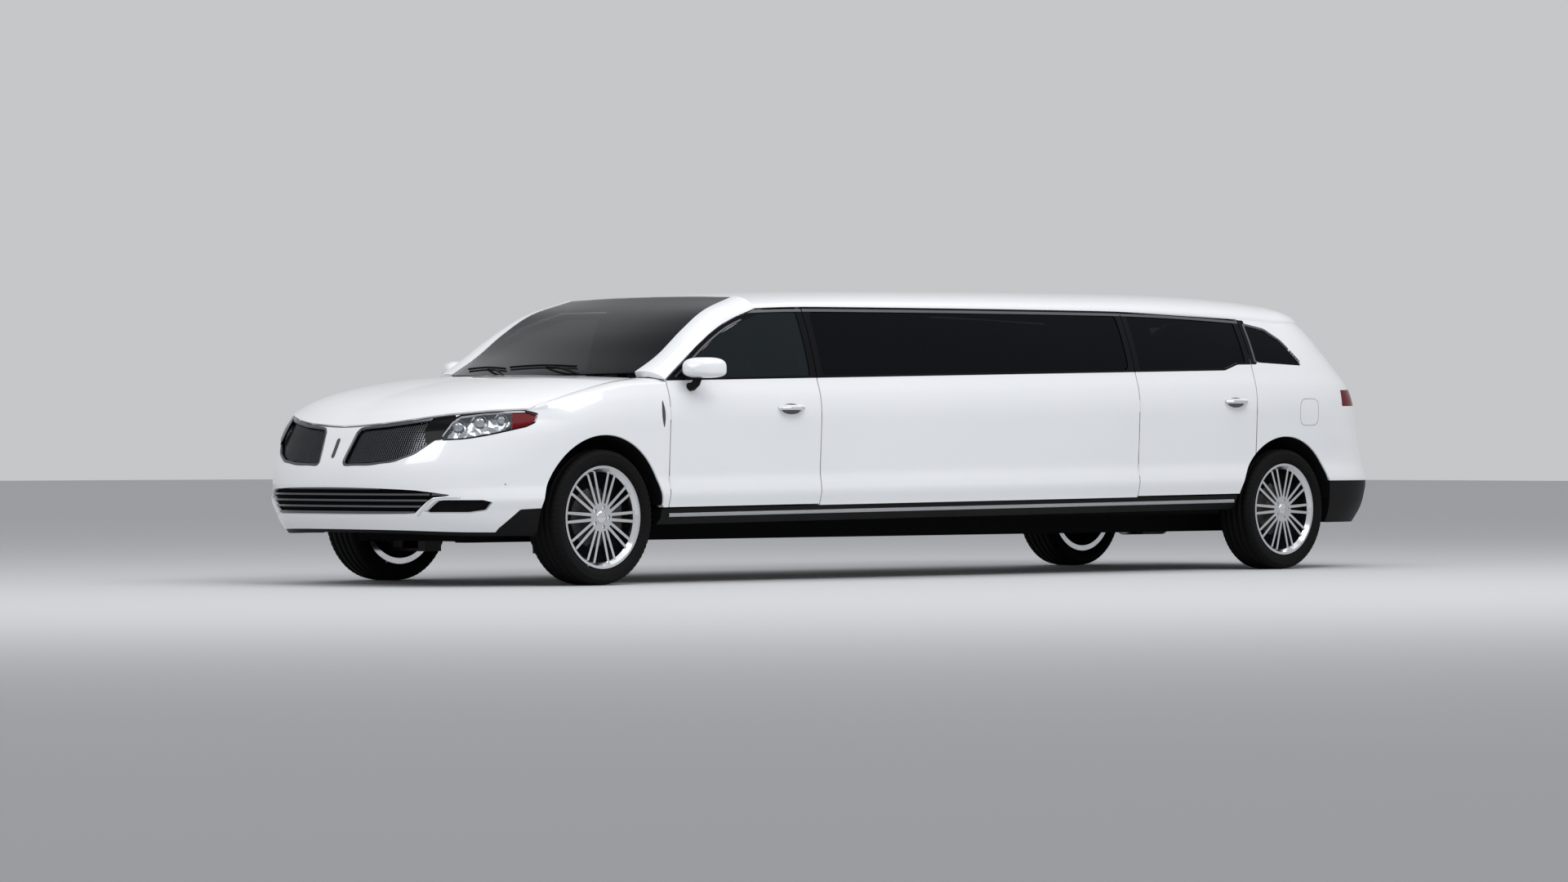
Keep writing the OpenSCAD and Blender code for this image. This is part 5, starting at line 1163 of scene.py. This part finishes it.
for i in range(4):
    x0 = RD_X + 60 + 575 * (i + 0.5)
    pillow(f"bench_side_{i}", (x0, -560, FLOOR_TOP + 270), (566, 460, 130), 0, "body")
    pillow(f"bench_side_back_{i}", (x0, -752, FLOOR_TOP + 470), (540, 90, 300), 0, "body")
block("bench_rear_plinth", (XR + 430, -550, FLOOR_TOP + 1), (XR + 960, 550, FLOOR_TOP + 205), trim, "body", 10)
block("bench_side_plinth", (RD_X + 64, -785, FLOOR_TOP + 1), (RD_X + 2356, -330, FLOOR_TOP + 205), trim, "body", 10)
for name, s in SIDES:
    for part, x0, x1 in (("front", FD_BACK + 90, FD_X - 60), ("rear", RD_BACK + 250, RD_X - 40)):
        body = f"{part}_door_{name}"
        for piece, back, fore, ys, z0, z1, mat, bevel in (
                ("door_card", x0, x1, (836, 846), 470, 1085, hide, 4),
                ("arm_rest", x0 + 120, x1 - 160, (806, 837), 800, 850, hide, 10),
                ("door_pull", x1 - 340, x1 - 210, (824, 837), 905, 924, chrome, 4)):
            y0, y1 = sorted(s * y for y in ys)
            block(f"{piece}_{part}_{name}", (back, y0, z0), (fore, y1, z1), mat, body, bevel)
        lathe(f"speaker_{part}_{name}", [(0.01, 4), (58, 4), (66, 7), (74, 5), (76, 0)], x1 - 190, s * 836, 600, -s,
              iron, body, 48)
block("gauges", (XF - 1000, 250, 1008), (XF - 850, 510, 1066), trim, "body", 14)
block("centre_display", (XF - 1064, -110, 850), (XF - 1044, 110, 985), gloss, "body", 4)

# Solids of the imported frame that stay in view: each wears the finish of the real piece,
# set on its own slots and not on its mesh.
WEAR = {
    paint: ["front_bumper", "front_fenders", "a_pillars", "roof", "stretch_panels", "rear_quarters", "rear_bumper",
            "hood", "liftgate", "door_front_left", "door_front_right", "door_rear_left", "door_rear_right"],
    trim: ["sill_trims", "rear_valance", "dashboard", "partition", "firewall", "steering_wheel"],
    felt_and_shade: ["floor_pan", "frame_rails", "wheelhouses", "fuel_tank"],
    iron: ["front_axle", "rear_axle", "engine_block", "knuckle_left", "knuckle_right"],
    satin: ["exhaust"],
    gloss: ["grilles"],
    alloy: ["rim_front_left", "rim_front_right", "rim_rear_left", "rim_rear_right"],
}
for mat, names in WEAR.items():
    for node in names:
        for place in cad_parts[node].material_slots:
            place.link = "OBJECT"
            place.material = mat

# Stage: a pale floor, an even sky and three large soft lights over and in front of the car.
# None of it belongs to the car.
scene.view_settings.view_transform = "Standard"
FLOOR_HALF = 80
floor_mat = bpy.data.materials.new("floor")
floor_mat.use_nodes = True
for socket, value in (("Base Color", (0.55, 0.56, 0.575, 1.0)), ("Roughness", 0.8), ("Specular IOR Level", 0.1)):
    floor_mat.node_tree.nodes["Principled BSDF"].inputs[socket].default_value = value
plane = bpy.data.meshes.new("floor")
plane.from_pydata([(x * FLOOR_HALF, y * FLOOR_HALF, 0) for x, y in ((-1, -1), (1, -1), (1, 1), (-1, 1))], [],
                  [(0, 1, 2, 3)])
plane.materials.append(floor_mat)
ground = bpy.data.objects.new("floor", plane)
scene.collection.objects.link(ground)
world = bpy.data.worlds.new("studio")
world.use_nodes = True
world.node_tree.nodes["Background"].inputs["Color"].default_value = (0.97, 0.98, 1.0, 1.0)
world.node_tree.nodes["Background"].inputs["Strength"].default_value = 0.58
scene.world = world


def soft_light(name, place, aim, wide, tall, power):
    """Oblong light at a place, turned to its aim."""
    data = bpy.data.lights.new(name, "AREA")
    data.shape = "RECTANGLE"
    data.size, data.size_y, data.energy = wide, tall, power
    obj = bpy.data.objects.new(name, data)
    obj.location = place
    obj.rotation_euler = (Vector(aim) - Vector(place)).to_track_quat("-Z", "Y").to_euler()
    scene.collection.objects.link(obj)


soft_light("overhead", (0, 1.0, 8.0), (0, 0, 0.5), 14, 6, 160)
soft_light("side", (1, 7.5, 9.0), (0, 0, 0.8), 12, 4, 620)
soft_light("nose", (11, 2, 7.0), (3, 0, 0.8), 5, 4, 220)
